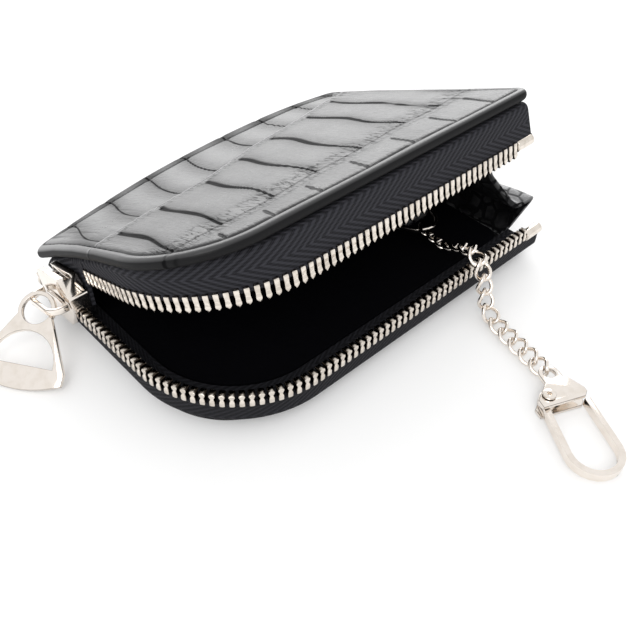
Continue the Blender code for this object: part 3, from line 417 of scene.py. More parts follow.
@dataclass(frozen=True)
class LeatherFinish:
    """Black leather with a satin gloss: croc scales where it has a pattern, or a fine plain grain."""

    name: str = "Croc leather"
    scales: CrocPattern | None = None
    base: tuple = (0.012, 0.012, 0.0135)
    worn: tuple = (0.24, 0.24, 0.245)
    groove: tuple = (0.0035, 0.0035, 0.004)
    roughness: float = 0.33
    groove_roughness: float = 0.85
    gloss: float = 0.78
    pore_scale: float = 2400.0
    grain_scale: float = 230.0
    relief: float = 0.035 * MM

    def croc(self, graph: Graph, cloud: Field) -> tuple[Field, Field, Field]:
        """The embossed scales.

        Args:
            graph: The material's graph.
            cloud: Broad noise that makes the painted sheen uneven.

        Returns:
            The height, the dark share, which holds painted shade, and the pale share, which is painted sheen.
        """
        along, across = graph.cloth_place()
        x, y = along * 1000.0, across * 1000.0
        groove, ridge, line, fringe, _, shade = self.scales.bands(x, y)
        behind, ahead = self.scales.creases(x, y)
        inland, edge = graph.attribute("inland"), graph.attribute("edge")
        drawn = graph.streaks(x * 1.05, y * 0.14, Detail=2.0, Distortion=0.3)
        hair = 1 - (drawn - 0.5).math("ABSOLUTE").ramp(0.0, 0.05)
        hair = hair * (fringe * 1.5).clamped() * inland
        deep = ((groove * inland).ramp(0.22, 0.8) * 1.05 + line * 0.7).clamped()
        streak = graph.streaks(x * 0.9, y * 0.18, Detail=4.0, Roughness=0.6)
        height = streak * inland * 9.0 + ridge * 7.0 - hair * 2.6 - deep * 6.0
        # The dark share: the grooves, the crease line and the hairlines, with painted shade from the edge
        # value and painted shade by the grooves.
        dark = (deep * 0.66 + hair * 0.6 + edge * 0.85 + shade * inland * 0.24).clamped()
        # The pale share is painted sheen: brightest over the spine row, less over the middle band, none by
        # the front, dimmed near the grooves and made uneven by the cloud, with a painted highlight along the
        # ridge.
        level = step(behind, -1.0, 1.0) * 0.30 + step(ahead, -1.0, 1.0) * 0.12
        calm = (1.1 - shade).clamped() * (cloud.ramp(0.3, 0.7) * 0.6 + 0.5)
        return height, dark, (level * calm + ridge.ramp(0.3, 0.9) * 0.5).clamped()

    def plain(self, graph: Graph, cloud: Field) -> tuple[Field, Field, Field]:
        """The fine grain of small cells.

        Args:
            graph: The material's graph.
            cloud: Broad noise.

        Returns:
            The height, the dark share and the pale share.
        """
        deep = 1 - graph.cells(self.grain_scale).ramp(0.0, 0.14)
        # The edge value adds painted shade: on the walls' inner faces and on rounded edges.
        dark = (deep * 0.7 + graph.attribute("edge")).clamped()
        return cloud * 8.0 - deep * 4.0, dark, cloud.ramp(0.4, 0.75)

    def material(self) -> bpy.types.Material:
        """Builds the leather: pores and pattern in its relief, painted sheen, and dark matt grooves and
        painted shade mixed in.

        Returns:
            The material.
        """
        graph = Graph(self.name)
        cloud = graph.noise(110.0, 4.0, 0.6)
        fine = graph.noise(1500.0, 3.0)
        pattern, fine_share = (self.croc, 0.9) if self.scales else (self.plain, 0.6)
        height, dark, pale = pattern(graph, cloud)
        height = height + graph.cells(self.pore_scale, "F1") * 0.25 + fine * fine_share
        normal = graph.bump(height, self.relief)
        rough = (self.roughness + (cloud - 0.5) * 0.3 + (fine - 0.5) * 0.10).clamped()
        graph.dress(Base_Color=graph.blend_colours(pale, self.base, self.worn), Roughness=rough,
                    Specular_IOR_Level=self.gloss, Coat_Weight=0.2, Coat_Roughness=0.3, Normal=normal)
        matt = graph.node("ShaderNodeBsdfPrincipled", {}, Base_Color=self.groove, Normal=normal,
                          Roughness=self.groove_roughness, Specular_IOR_Level=0.08)
        return graph.mix_in(dark, matt)


@dataclass(frozen=True)
class TapeFinish:
    """Blue-black zip tape in a herringbone weave."""

    name: str = "Zip tape"
    base: tuple = (0.0020, 0.0020, 0.0032)
    thread: tuple = (0.044, 0.044, 0.054)
    rib: float = 4.2 * MM
    twill: float = 2.3 * MM
    slope: float = 1.8
    yarn: float = 0.62 * MM
    relief: float = 0.22 * MM

    def material(self) -> bpy.types.Material:
        """Builds the weave: slanted twill bands that reverse at each rib, crossed by fine yarns.

        Returns:
            The material.
        """
        graph = Graph(self.name)
        along, across = graph.cloth_place()
        zigzag = (across / self.rib).math("PINGPONG", 1.0)
        slant = (along / self.twill + zigzag * (self.slope * self.rib / self.twill)).math("FRACT")
        band = ((slant - 0.5).math("ABSOLUTE") * 2.0).ramp(0.2, 0.8)
        yarn = ((slant * 4.0).math("FRACT") - 0.5).math("ABSOLUTE") * 2.0
        knot = ((across / self.yarn).math("FRACT") - 0.5).math("ABSOLUTE") * 2.0
        fuzz = graph.noise(3400.0, 2.0)
        height = band * 0.9 + yarn * 0.3 + knot * 0.3 + fuzz * 0.3
        share = (band * 0.38 + yarn * 0.2 + knot * 0.22 + fuzz * 0.3 - 0.1).clamped()
        rough = (0.74 + fuzz * 0.14 - band * 0.1).clamped()
        return graph.dress(Base_Color=graph.blend_colours(share, self.base, self.thread), Roughness=rough,
                           Specular_IOR_Level=0.22, Normal=graph.bump(height, self.relief))


@dataclass(frozen=True)
class LiningFinish:
    """Matt black lining cloth with a fine plain weave."""

    base: tuple = (0.0008, 0.0008, 0.0014)
    thread: tuple = (0.0026, 0.0026, 0.0038)
    yarn: float = 0.36 * MM
    relief: float = 0.05 * MM

    def material(self) -> bpy.types.Material:
        """Builds the weave from two crossing waves on object coordinates.

        Returns:
            The material.
        """
        graph = Graph("Lining cloth")
        turns = 2 * math.pi / self.yarn
        warp, weft = [(part * turns).math("SINE") for part in graph.split(graph.place())[:2]]
        weave = warp * weft * 0.5 + 0.5
        cloud = graph.noise(300.0, 3.0)
        colour = graph.blend_colours((weave * 0.6 + cloud * 0.4).clamped(), self.base, self.thread)
        return graph.dress(Base_Color=colour, Roughness=(0.82 + cloud * 0.12).clamped(),
                           Specular_IOR_Level=0.04, Normal=graph.bump(weave + cloud * 0.4, self.relief))


@dataclass(frozen=True)
class MetalFinish:
    """Polished pale nickel plate."""

    name: str = "Nickel"
    base: tuple = (0.86, 0.80, 0.74)
    tarnish: tuple = (0.80, 0.735, 0.665)
    grime: tuple = (0.05, 0.038, 0.028)
    roughness: float = 0.12
    relief: float = 0.004 * MM

    def material(self) -> bpy.types.Material:
        """Builds the plate: faint clouds of tone, hairline scratches, and painted shade by the edge value.

        Returns:
            The material.
        """
        graph = Graph(self.name)
        cloud = graph.noise(420.0, 3.0)
        drawn = graph.node("ShaderNodeMapping", {}, graph.place(), None, None, (0.12, 1.0, 0.5))
        hair = graph.node("ShaderNodeTexNoise", {}, Vector=drawn, Scale=5200.0, Detail=2.0)
        colour = graph.blend_colours(cloud.ramp(0.35, 0.75), self.base, self.tarnish)
        # Painted shade: the edge value darkens the teeth's sides and the rounded edges of the fittings.
        colour = graph.blend_colours(graph.attribute("edge").clamped(), colour, self.grime)
        rough = (self.roughness + (cloud - 0.5) * 0.06 + (hair - 0.5) * 0.05).clamped()
        return graph.dress(Base_Color=colour, Metallic=1.0, Roughness=rough,
                           Normal=graph.bump(hair * 0.3 + cloud, self.relief))


@dataclass(frozen=True)
class ThreadFinish:
    """Waxed black sewing thread."""

    base: tuple = (0.005, 0.005, 0.006)
    twisted: tuple = (0.04, 0.04, 0.044)
    relief: float = 0.05 * MM

    def material(self) -> bpy.types.Material:
        """Builds the thread with a fine twist in its bump.

        Returns:
            The material.
        """
        graph = Graph("Waxed thread")
        twist = graph.noise(4200.0, 2.0)
        return graph.dress(Base_Color=graph.blend_colours(twist, self.base, self.twisted),
                           Roughness=(0.5 + twist * 0.2).clamped(), Normal=graph.bump(twist, self.relief))


# Surfaces

def unit(vectors: Array) -> Array:
    """Vectors scaled to length one, with the zero vector left alone."""
    return vectors / np.maximum(np.linalg.norm(vectors, axis=-1, keepdims=True), 1e-12)


def slopes(points: Array, axis: int, closed: bool = False) -> Array:
    """Central differences of a grid of points along one axis, wrapping round where it is closed.

    Args:
        points: The grid.
        axis: The axis along which they are taken.
        closed: Whether that axis joins on itself.

    Returns:
        The differences, in the shape of the points.
    """
    if closed:
        return np.roll(points, -1, axis) - np.roll(points, 1, axis)
    return np.gradient(points, axis=axis)


def walked(points: Array) -> Array:
    """How far along a line each of its points is."""
    return np.concatenate([[0], np.cumsum(np.linalg.norm(np.diff(points, axis=0), axis=1))])


def at_height(plan: Array, height: Array | float) -> Array:
    """Points of a plan, as (n, 2), at one height or at a height each."""
    return np.column_stack([plan, np.broadcast_to(height, len(plan))])


def linked(name: str, data: bpy.types.ID) -> bpy.types.Object:
    """A new object in the scene.

    Args:
        name: Its name.
        data: Its mesh, camera or lamp.

    Returns:
        The object.
    """
    made = bpy.data.objects.new(name, data)
    bpy.context.scene.collection.objects.link(made)
    return made


def finished(name: str, mesh: bpy.types.Mesh, material: bpy.types.Material, sharp: float) -> bpy.types.Object:
    """Gives a mesh its material, shades it with the given sharp angle in degrees, and makes its object.

    Args:
        name: The piece's name.
        mesh: Its mesh.
        material: Its finish.
        sharp: Edges bent more than this many degrees stay sharp.

    Returns:
        The object.
    """
    mesh.materials.clear()
    mesh.materials.append(material)
    mesh.shade_smooth()
    mesh.set_sharp_from_angle(angle=math.radians(sharp))
    return linked(name, mesh)


@dataclass
class Skin:
    """Gathers grids of points into one mesh."""

    points: list = field(default_factory=list)
    quads: list = field(default_factory=list)
    places: list = field(default_factory=list)
    values: dict = field(default_factory=dict)
    count: int = 0

    def add(self, grid: Array, closed: tuple = (False, True), cloth: Array | None = None,
            **values: Array) -> "Skin":
        """Adds a grid of points as quads.

        Args:
            grid: Points in rows and columns, as an array of (rows, columns, 3).
            closed: Whether the rows, and the columns, join on themselves.
            cloth: Places on the cloth, as (rows, columns, 2).
            values: Numbers stored on the points, such as how near each is to an edge.

        Returns:
            The skin itself.
        """
        rows, columns = grid.shape[:2]
        index = self.count + np.arange(rows * columns).reshape(rows, columns)
        if closed[0]:
            index = np.vstack([index, index[:1]])
        if closed[1]:
            index = np.hstack([index, index[:, :1]])
        corners = (index[:-1, :-1], index[:-1, 1:], index[1:, 1:], index[1:, :-1])
        self.quads.append(np.stack([c.ravel() for c in corners], 1))
        self.points.append(grid.reshape(-1, 3))
        self.places.append(np.zeros((rows * columns, 2)) if cloth is None else cloth.reshape(-1, 2))
        for key, value in values.items():
            self.values.setdefault(key, []).append(np.ravel(value))
        self.count += rows * columns
        return self

    def add_copies(self, grid: Array, frames: Array, closed: tuple = (False, True),
                   **values: Array) -> "Skin":
        """Adds one grid many times, each placed by a 3 by 4 matrix, with the same values on each.

        Args:
            grid: The grid that is repeated.
            frames: The matrices, as (copies, 3, 4).
            closed: Whether the rows, and the columns, join on themselves.
            values: Numbers stored on the points of each copy.

        Returns:
            The skin itself.
        """
        placed = np.einsum("nij,rcj->nrci", frames[:, :, :3], grid) + frames[:, None, None, :, 3]
        for copy in placed:
            self.add(copy, closed, **values)
        return self

    def build(self, name: str, material: bpy.types.Material, sharp: float = 40.0) -> bpy.types.Object:
        """Makes the object: merges coinciding points, closes the ends and points the faces outwards.

        Args:
            name: The piece's name.
            material: Its finish.
            sharp: Edges bent more than this many degrees stay sharp.

        Returns:
            The new object, linked to the scene.
        """
        quads = np.concatenate(self.quads)
        places = np.concatenate(self.places)[quads.ravel()]
        mesh = bpy.data.meshes.new(name)
        mesh.vertices.add(self.count)
        mesh.vertices.foreach_set("co", np.concatenate(self.points).astype(np.float32).ravel())
        mesh.loops.add(quads.size)
        mesh.loops.foreach_set("vertex_index", quads.astype(np.int32).ravel())
        mesh.polygons.add(len(quads))
        mesh.polygons.foreach_set("loop_start", np.arange(0, quads.size, 4, dtype=np.int32))
        mesh.uv_layers.new(name="UVMap").data.foreach_set("uv", places.astype(np.float32).ravel())
        for key, parts in self.values.items():
            layer = mesh.attributes.new(key, "FLOAT", "POINT")
            layer.data.foreach_set("value", np.concatenate(parts).astype(np.float32))
        mesh.update(calc_edges=True)
        mesh.validate()
        work = bmesh.new()
        work.from_mesh(mesh)
        bmesh.ops.remove_doubles(work, verts=work.verts, dist=MERGE_DISTANCE)
        loose = [edge for edge in work.edges if len(edge.link_faces) == 1]
        if loose:
            bmesh.ops.holes_fill(work, edges=loose, sides=0)
        bmesh.ops.recalc_face_normals(work, faces=work.faces)
        work.to_mesh(mesh)
        work.free()
        return finished(name, mesh, material, sharp)


def tube(path: Array, ups: Array, section: Array, closed: bool = False) -> Array:
    """Carries a section along a path: point = path + side * x + up * y at each step.

    Args:
        path: Points of the path, as (n, 3).
        ups: Directions of the section's Y, as (n, 3) or (3,).
        section: The section, as (k, 2).
        closed: Whether the path joins on itself.

    Returns:
        A grid of (n, k, 3).
    """
    run = unit(slopes(path, 0, closed))
    side = unit(np.cross(run, np.broadcast_to(ups, path.shape)))
    up = np.cross(side, run)
    return path[:, None] + side[:, None] * section[:, :1] + up[:, None] * section[:, 1:]


def circle(radius: float, count: int) -> Array:
    """A round section."""
    angles = np.linspace(0, 2 * math.pi, count, endpoint=False)
    return radius * np.stack([np.cos(angles), np.sin(angles)], 1)


def soft_box(power: float, count: int) -> Array:
    """A superellipse one unit wide and high: |2 x| ** power + |2 y| ** power = 1, a box with soft corners."""
    shape = circle(1, count)
    return np.sign(shape) * np.abs(shape) ** (2 / power) * 0.5


def bend_line(corners: Array, radius: float, steps: int = 8, straight: int = 12) -> Array:
    """Rounds the corners of many lines at once with quadratic Bezier curves.

    Each corner K is left at K - r * into and reached again at K + r * out, and the curve between is
    (1 - t)^2 * start + 2 t (1 - t) * K + t^2 * end.

    Args:
        corners: The corner points of each line, as (lines, corners, 3).
        radius: How far from a corner the curve begins.
        steps: Points on each rounded corner.
        straight: Points on each straight run.

    Returns:
        The rounded lines, as (lines, points, 3).
    """
    t = np.linspace(0, 1, steps)[None, :, None]
    runs = unit(np.diff(corners, axis=1))
    parts = []
    last = corners[:, 0]
    for k in range(1, corners.shape[1]):
        final = k == corners.shape[1] - 1
        knee = corners[:, k]
        stop = knee if final else knee - runs[:, k - 1] * radius
        share = np.linspace(0, 1, straight, endpoint=final)[None, :, None]
        parts.append(last[:, None] * (1 - share) + stop[:, None] * share)
        if not final:
            leave = knee + runs[:, k] * radius
            parts.append(stop[:, None] * (1 - t) ** 2 + knee[:, None] * 2 * t * (1 - t)
                         + leave[:, None] * t ** 2)
            last = leave
    line = np.concatenate(parts, 1)
    keep = np.ones(line.shape[1], bool)
    keep[1:] = np.linalg.norm(np.diff(line, axis=1), axis=-1).max(0) > 0.001 * MM
    return line[:, keep]


def thick_sheet(middle: Array, thickness: float, raised: Array | float = 0.0) -> Array:
    """Gives a sheet of points its two faces: middle +- half the thickness along the sheet's normal.

    Args:
        middle: The sheet's middle surface, as (rows, columns, 3).
        thickness: Its thickness in metres.
        raised: What is added to the outer face, as (rows, columns).

    Returns:
        A grid of (rows, 2 * columns, 3) whose columns run round the sheet.
    """
    normal = unit(np.cross(slopes(middle, 0), slopes(middle, 1)))
    lift = np.broadcast_to(np.asarray(raised), middle.shape[:2])[..., None]
    outer = middle + normal * (thickness / 2 + lift)
    inner = middle - normal * thickness / 2
    return np.concatenate([outer, inner[:, ::-1]], 1)


def cloth_places(grid: Array) -> Array:
    """How far along the rows each point lies, and how far from the last column, in metres.

    Args:
        grid: The cloth's middle surface, as (rows, columns, 3).

    Returns:
        The places, as (rows, columns, 2).
    """
    across = np.concatenate([np.zeros((len(grid), 1)), np.cumsum(
        np.linalg.norm(np.diff(grid, axis=1), axis=-1), 1)], 1)
    along = walked(grid[:, grid.shape[1] // 2])
    return np.stack([np.broadcast_to(along[:, None], across.shape), across[:, -1:] - across], -1)


def turned(points: Array, angle: float, centre: Array) -> Array:
    """Points turned about an axis through a centre, parallel to X.

    Args:
        points: Points, as (..., 3).
        angle: The turn in radians.
        centre: A point on the axis.

    Returns:
        The turned points.
    """
    c, s = math.cos(angle), math.sin(angle)
    x, y, z = np.moveaxis(points - centre, -1, 0)
    return np.stack([x, y * c - z * s, y * s + z * c], -1) + centre


def dressed_copy(name: str, node: str, material: bpy.types.Material, width: float, steps: int = 3,
                 flat: float = 2.0, corner: float = 32.0) -> bpy.types.Object:
    """Copies a CAD node, merges its triangles into faces, rounds its edges and marks them for painted shade.

    Args:
        name: The piece's name.
        node: The CAD node that it stands for.
        material: Its finish.
        width: The width of the rounded edge.
        steps: Segments across the rounded edge.
        flat: Faces that differ by less than this many degrees become one.
        corner: Edges sharper than this many degrees are rounded.

    Returns:
        The new object.
    """
    work = bmesh.new()
    work.from_mesh(frame["nodes"][node].data)
    bmesh.ops.remove_doubles(work, verts=work.verts, dist=MERGE_DISTANCE)
    bmesh.ops.dissolve_limit(work, angle_limit=math.radians(flat), verts=work.verts, edges=work.edges)
    layer = work.verts.layers.float.new("edge")
    sharp = [edge for edge in work.edges
             if len(edge.link_faces) == 2 and edge.calc_face_angle(0) > math.radians(corner)]
    made = bmesh.ops.bevel(work, geom=sharp, offset=width, offset_type="OFFSET", segments=steps, profile=0.5,
                           affect="EDGES", clamp_overlap=True)
    bevelled = set(made["faces"])
    # The rounded edges get an edge value of 0.75, which the finishes draw as painted shade.
    for vert in work.verts:
        vert[layer] = 0.75 * bevelled.issuperset(vert.link_faces)
    mesh = bpy.data.meshes.new(name)
    work.to_mesh(mesh)
    work.free()
    return finished(name, mesh, material, corner)


def settle(piece: bpy.types.Object, body: Body | str, slot: Slot, *nodes: str) -> None:
    """Lets a finished piece ride on a body, and hides the CAD nodes it stands for.

    Args:
        piece: The piece.
        body: The body, or a chain link's own.
        slot: Not used.
        nodes: The CAD nodes.
    """
    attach(piece, body.value if isinstance(body, Body) else body)
    if nodes:
        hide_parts(*nodes)
    LOG.info("%s rides on %s, %d faces", piece.name, body, len(piece.data.polygons))


# The case

@dataclass(frozen=True)
class CaseForm:
    """The driving sizes of the case, as the CAD has them, and the surfaces that follow from them."""

    length: float = 110 * MM
    width: float = 76.2 * MM
    spine_height: float = 22.6 * MM
    cover: float = 3.0 * MM
    corner_radii: tuple = (22 * MM, 3.5 * MM, 4.5 * MM, 4.5 * MM)
    closed_angle: float = math.radians(5.4)
    rest_angle: float = math.radians(20.8)
    clearance: float = 0.3 * MM
    droops: tuple = (9.1 * MM, 2.1 * MM)
    length_fades: tuple = (2.65, 5.0)
    width_fades: tuple = (2.2, 1.0)
    lining_inset: float = 5.0 * MM
    lining_thickness: float = 1.0 * MM
    tape_seam: float = 4.6 * MM
    inner_corner: float = 24.5 * MM
    zip_end_setback: float = 1.5 * MM
    row_start_from_spine: float = 6.5 * MM
    row_heights: tuple = (5.2 * MM, 8.4 * MM)
    lower_row: tuple = (1.9 * MM, 4.0 * MM, 27.7 * MM)
    upper_row: tuple = (-2.0 * MM, -1.1 * MM, 28.6 * MM)
    tooth_length: float = 4.3 * MM
    row_closed_gap: float = 0.4 * MM
    stop_length: float = 6.5 * MM
    stop_radius: float = 1.5 * MM
    slider_from_spine: float = 20.6 * MM
    slider_length: float = 15.4 * MM
    gusset_seam: float = 4.7 * MM
    spine_seam: float = 6.0 * MM

    @property
    def half_length(self) -> float:
        """Half the case's length."""
        return self.length / 2

    @property
    def half_width(self) -> float:
        """Half the case's width."""
        return self.width / 2

    @property
    def floor(self) -> float:
        """Where pieces inside the case begin, above the lower cover."""
        return self.cover + self.clearance

    @property
    def ceiling(self) -> float:
        """Where pieces inside the closed case end, under the upper cover."""
        return self.spine_height - self.cover - self.clearance

    @property
    def hinge(self) -> Array:
        """A point on the line that the lid turns about, which runs along X."""
        return np.array([0, self.half_width - self.spine_height / 2 + self.cover, self.spine_height / 2])

    @property
    def row_start_y(self) -> float:
        """Where the tooth rows begin, near the spine."""
        return self.half_width - self.row_start_from_spine

    @property
    def slider_nose_y(self) -> float:
        """Where the slider ends towards the zip's free end."""
        return self.half_width - self.slider_from_spine - self.slider_length / 2

    def droop(self, x: Array, y: Array) -> Array:
        """How far the soft lid sinks at two corners: (1 - x share) ** a * (y share) ** b at each.

        Args:
            x: Places along the spine.
            y: Places across the case.

        Returns:
            How far each sinks.
        """
        along = np.clip((x + self.half_length) / self.length, 0, 1)
        back = np.clip(1 - (self.half_width - y) / self.width, 0, 1)
        slider_end = (1 - along) ** self.length_fades[0] * back ** self.width_fades[0]
        gusset_end = along ** self.length_fades[1] * back ** self.width_fades[1]
        return self.droops[0] * slider_end + self.droops[1] * gusset_end

    def on_lid(self, points: Array) -> Array:
        """Takes points of the parallel case to the drooped, open lid.

        Args:
            points: Points, as (..., 3).

        Returns:
            The points on the lid.
        """
        lowered = points.copy()
        lowered[..., 2] -= self.droop(points[..., 0], points[..., 1])
        return turned(lowered, -self.rest_angle, self.hinge)

    def on_open_row(self, points: Array) -> Array:
        """Takes points of the closed upper row to the open lid."""
        return turned(points, self.closed_angle - self.rest_angle, self.hinge)

    def row_path(self, upper: bool) -> "ZipPath":
        """The upper or lower row in plan."""
        return ZipPath(self, *(self.upper_row if upper else self.lower_row))

    def seam_path(self) -> "ZipPath":
        """The tapes' sewn edges in plan."""
        return ZipPath(self, -self.tape_seam, -self.tape_seam, self.inner_corner)

    def row_height(self, y: Array) -> Array:
        """Height of the lower teeth's feet, which climbs from the slider corner to the round corner.

        Args:
            y: Places across the case.

        Returns:
            The height at each.
        """
        end = self.row_path(False).corner_start_y
        share = np.clip((self.row_start_y - y) / (self.row_start_y - end), 0, 1)
        return self.row_heights[0] + (self.row_heights[1] - self.row_heights[0]) * share


@dataclass(frozen=True)
class ZipPath:
    """A line that runs down the slider's side, round the corner and along the front."""

    form: CaseForm
    side_outset: float
    front_outset: float
    radius: float

    @property
    def side_x(self) -> float:
        """X of the side stretch."""
        return -self.form.half_length - self.side_outset

    @property
    def corner_start_y(self) -> float:
        """Where the side stretch ends and the corner begins."""
        return -self.form.half_width - self.front_outset + self.radius

    @property
    def lengths(self) -> tuple[float, float, float]:
        """Lengths of the side, the corner and the front.

        Returns:
            The three lengths.
        """
        end_x = self.form.half_length - self.form.zip_end_setback
        return (self.form.row_start_y - self.corner_start_y, self.radius * math.pi / 2,
                end_x - self.side_x - self.radius)

    def at(self, shares: Array) -> tuple[Array, Array]:
        """Points and outward directions, with 0 to 1 the side, 1 to 2 the corner, 2 to 3 the front.

        Args:
            shares: Places along the three stretches.

        Returns:
            Points and directions, each as (n, 2).
        """
        angle = np.clip(shares - 1, 0, 1) * math.pi / 2
        out = -np.stack([np.cos(angle), np.sin(angle)], -1)
        point = out * self.radius + (self.side_x + self.radius, self.corner_start_y)
        point[..., 1] += (1 - shares).clip(0) * self.lengths[0]
        point[..., 0] += (shares - 2).clip(0) * self.lengths[2]
        return point, out

    def shares(self, lengths: Array) -> Array:
        """Turns distances along the path into shares."""
        return np.interp(lengths, np.concatenate([[0], np.cumsum(self.lengths)]), (0, 1, 2, 3))


@dataclass
class Panel:
    """A rounded panel with a rolled edge, made as rings drawn in from its outline to its middle."""

    form: CaseForm
    bounds: tuple
    radii: tuple
    bottom: float
    thickness: float
    upper: bool
    spacing: float
    croc: CrocPattern | None = None
    stitch_inset: float = 2.4 * MM
    stitch_pitch: float = 2.9 * MM
    spine_setback: float = 4.0 * MM
    seam_depth: float = 0.40 * MM
    seam_width: float = 0.45 * MM
    # The seam's painted shade in the stitch groove: its width and its darkness.
    seam_dark_width: float = 0.28 * MM
    seam_dark: float = 0.7
    strip_dark: float = 0.62
    thread_sink: float = 0.25 * MM
    padding: float = 0.16 * MM
    ridge_rise: float = 0.16 * MM
    groove_depth: float = 0.42 * MM
    line_depth: float = 0.12 * MM
    dome_rise: float = 0.34 * MM
    floor_gap: float = 0.5 * MM

    def outline(self, insets: Array) -> tuple[Array, Array]:
        """The panel's outline in plan, drawn in by each inset, and its outward directions.

        Args:
            insets: How far each ring is drawn in.

        Returns:
            Rings as (insets, n, 2) and directions as (n, 2).
        """
        x0, x1, y0, y1 = self.bounds
        corners = ((x0, y0, 1, 1, 180), (x1, y0, -1, 1, 270), (x1, y1, -1, -1, 0), (x0, y1, 1, -1, 90))
        arcs, outs = [], []
        for (x, y, sx, sy, start), radius in zip(corners, self.radii):
            left = np.maximum(radius - insets, 0)[:, None]
            steps = max(6, int(radius * math.pi / 2 / self.spacing))
            angles = np.radians(np.linspace(start, start + 90, steps + 1))
            cx = x + sx * (insets[:, None] + left)
            cy = y + sy * (insets[:, None] + left)
            arcs.append(np.stack([cx + left * np.cos(angles), cy + left * np.sin(angles)], -1))
            outs.append(np.stack([np.cos(angles), np.sin(angles)], -1))
        rings, directions = [], []
        for k, arc in enumerate(arcs):
            after = arcs[(k + 1) % 4]
            run = np.linalg.norm(after[0, 0] - arc[0, -1])
            share = np.linspace(0, 1, max(4, int(run / self.spacing)) + 1)[1:-1, None]
            side = arc[:, -1:] * (1 - share) + after[:, :1] * share
            rings += [arc, side]
            directions += [outs[k], np.broadcast_to(outs[k][-1], (side.shape[1], 2))]
        return np.concatenate(rings, 1), np.concatenate(directions)

    @staticmethod
    def at_spine(outs: Array) -> Array:
        """How far each direction points to the spine, from 0 to 1."""
        return np.clip(outs[:, 1] * 4 - 2, 0, 1)

    def surface(self) -> Skin:
        """The panel's skin, from the middle of its inner face round the edge to the middle outside.

        Its plan is its place on the cloth, and it carries its shares of edge and inland. The edge share is
        painted shade on the rolled edge, the inner face and the stitch groove, and a darker strip by the
        spine.

        Returns:
            The skin.
        """
        x0, x1, y0, y1 = self.bounds
        radius = self.thickness / 2
        reach = min(x1 - x0, y1 - y0) / 2
        face = np.linspace(radius, reach, max(8, int(reach / self.spacing)))
        back = np.linspace(reach, radius, 14)
        swing = np.radians(np.linspace(-90, 90, 13))[1:-1]
        insets = np.concatenate([back, radius * (1 - np.cos(swing)), face])
        lift = np.concatenate([np.full(len(back), -1.0), np.sin(swing), np.ones(len(face))])[:, None]
        tilt = np.concatenate([np.zeros(len(back)), np.cos(swing), np.zeros(len(face))])[:, None]
        rings, outs = self.outline(insets)
        insets = insets[:, None]
        level = np.broadcast_to(self.bottom + radius + radius * lift, rings.shape[:2])
        grid = np.concatenate([rings, level[..., None]], -1)
        spine = self.at_spine(outs)
        inland = np.maximum(spine, np.clip((insets - 2.2 * MM) / (0.6 * MM), 0, 1))
        # The edge share is painted shade: the leather darkens from near the top of the rolled edge as it
        # turns towards the inner face, and all over the inner face.
        edge = np.clip((0.82 - lift) / 0.3, 0, 1) * np.ones(len(outs))
        if self.croc:
            away = insets - self.stitch_inset - self.spine_setback * spine
            height = self.relief(rings, inland, insets) * np.clip(lift, 0, 1)
            height = height - self.seam_depth * np.exp(-(away / self.seam_width) ** 2) * (lift > 0.9)
            # Painted shade in the stitch groove; the strip between the spine-side stitches and the spine edge
            # is drawn darker and matt.
            seam = np.exp(-(away / self.seam_dark_width) ** 2) * (lift > 0.9)
            strip = (away < 0) * spine * self.strip_dark * (lift > 0)
            edge = np.maximum(np.maximum(edge, seam * self.seam_dark), strip)
            grid[..., 2] += height * np.maximum(lift, 0)
            grid[..., :2] += outs * (height * tilt)[..., None]
        if self.upper:
            grid = self.form.on_lid(grid)
        else:
            grid[..., 2] = 2 * self.bottom + self.thickness - grid[..., 2]
        return Skin().add(grid, cloth=rings, edge=edge, inland=inland)

    def relief(self, rings: Array, inland: Array, insets: Array) -> Array:
        """Height of the embossing and of the soft padding. The lower cover's stays above the floor.

        Args:
            rings: The panel's plan.
            inland: 0 on the rolled edge and 1 inside it.
            insets: How far each ring is drawn in.

        Returns:
            Heights for each point of the plan.
        """
        x, y = rings[..., 0] / MM, rings[..., 1] / MM
        groove, ridge, line, _, near, _ = self.croc.bands(x, y)
        dome = 1 - np.exp(-near ** 2 / 30.0)
        soft = np.sin(x / 7.3 + np.sin(y / 5.1)) * np.sin(y / 6.7 + 0.4 * np.sin(x / 9.0))
        height = (self.padding * soft + self.ridge_rise * ridge - self.groove_depth * groove * inland
                  - self.line_depth * line + self.dome_rise * dome)
        height = height * np.clip((insets - 0.4 * MM) / (2.2 * MM), 0.45, 1)
        return height if self.upper else np.minimum(height - self.floor_gap, 0)

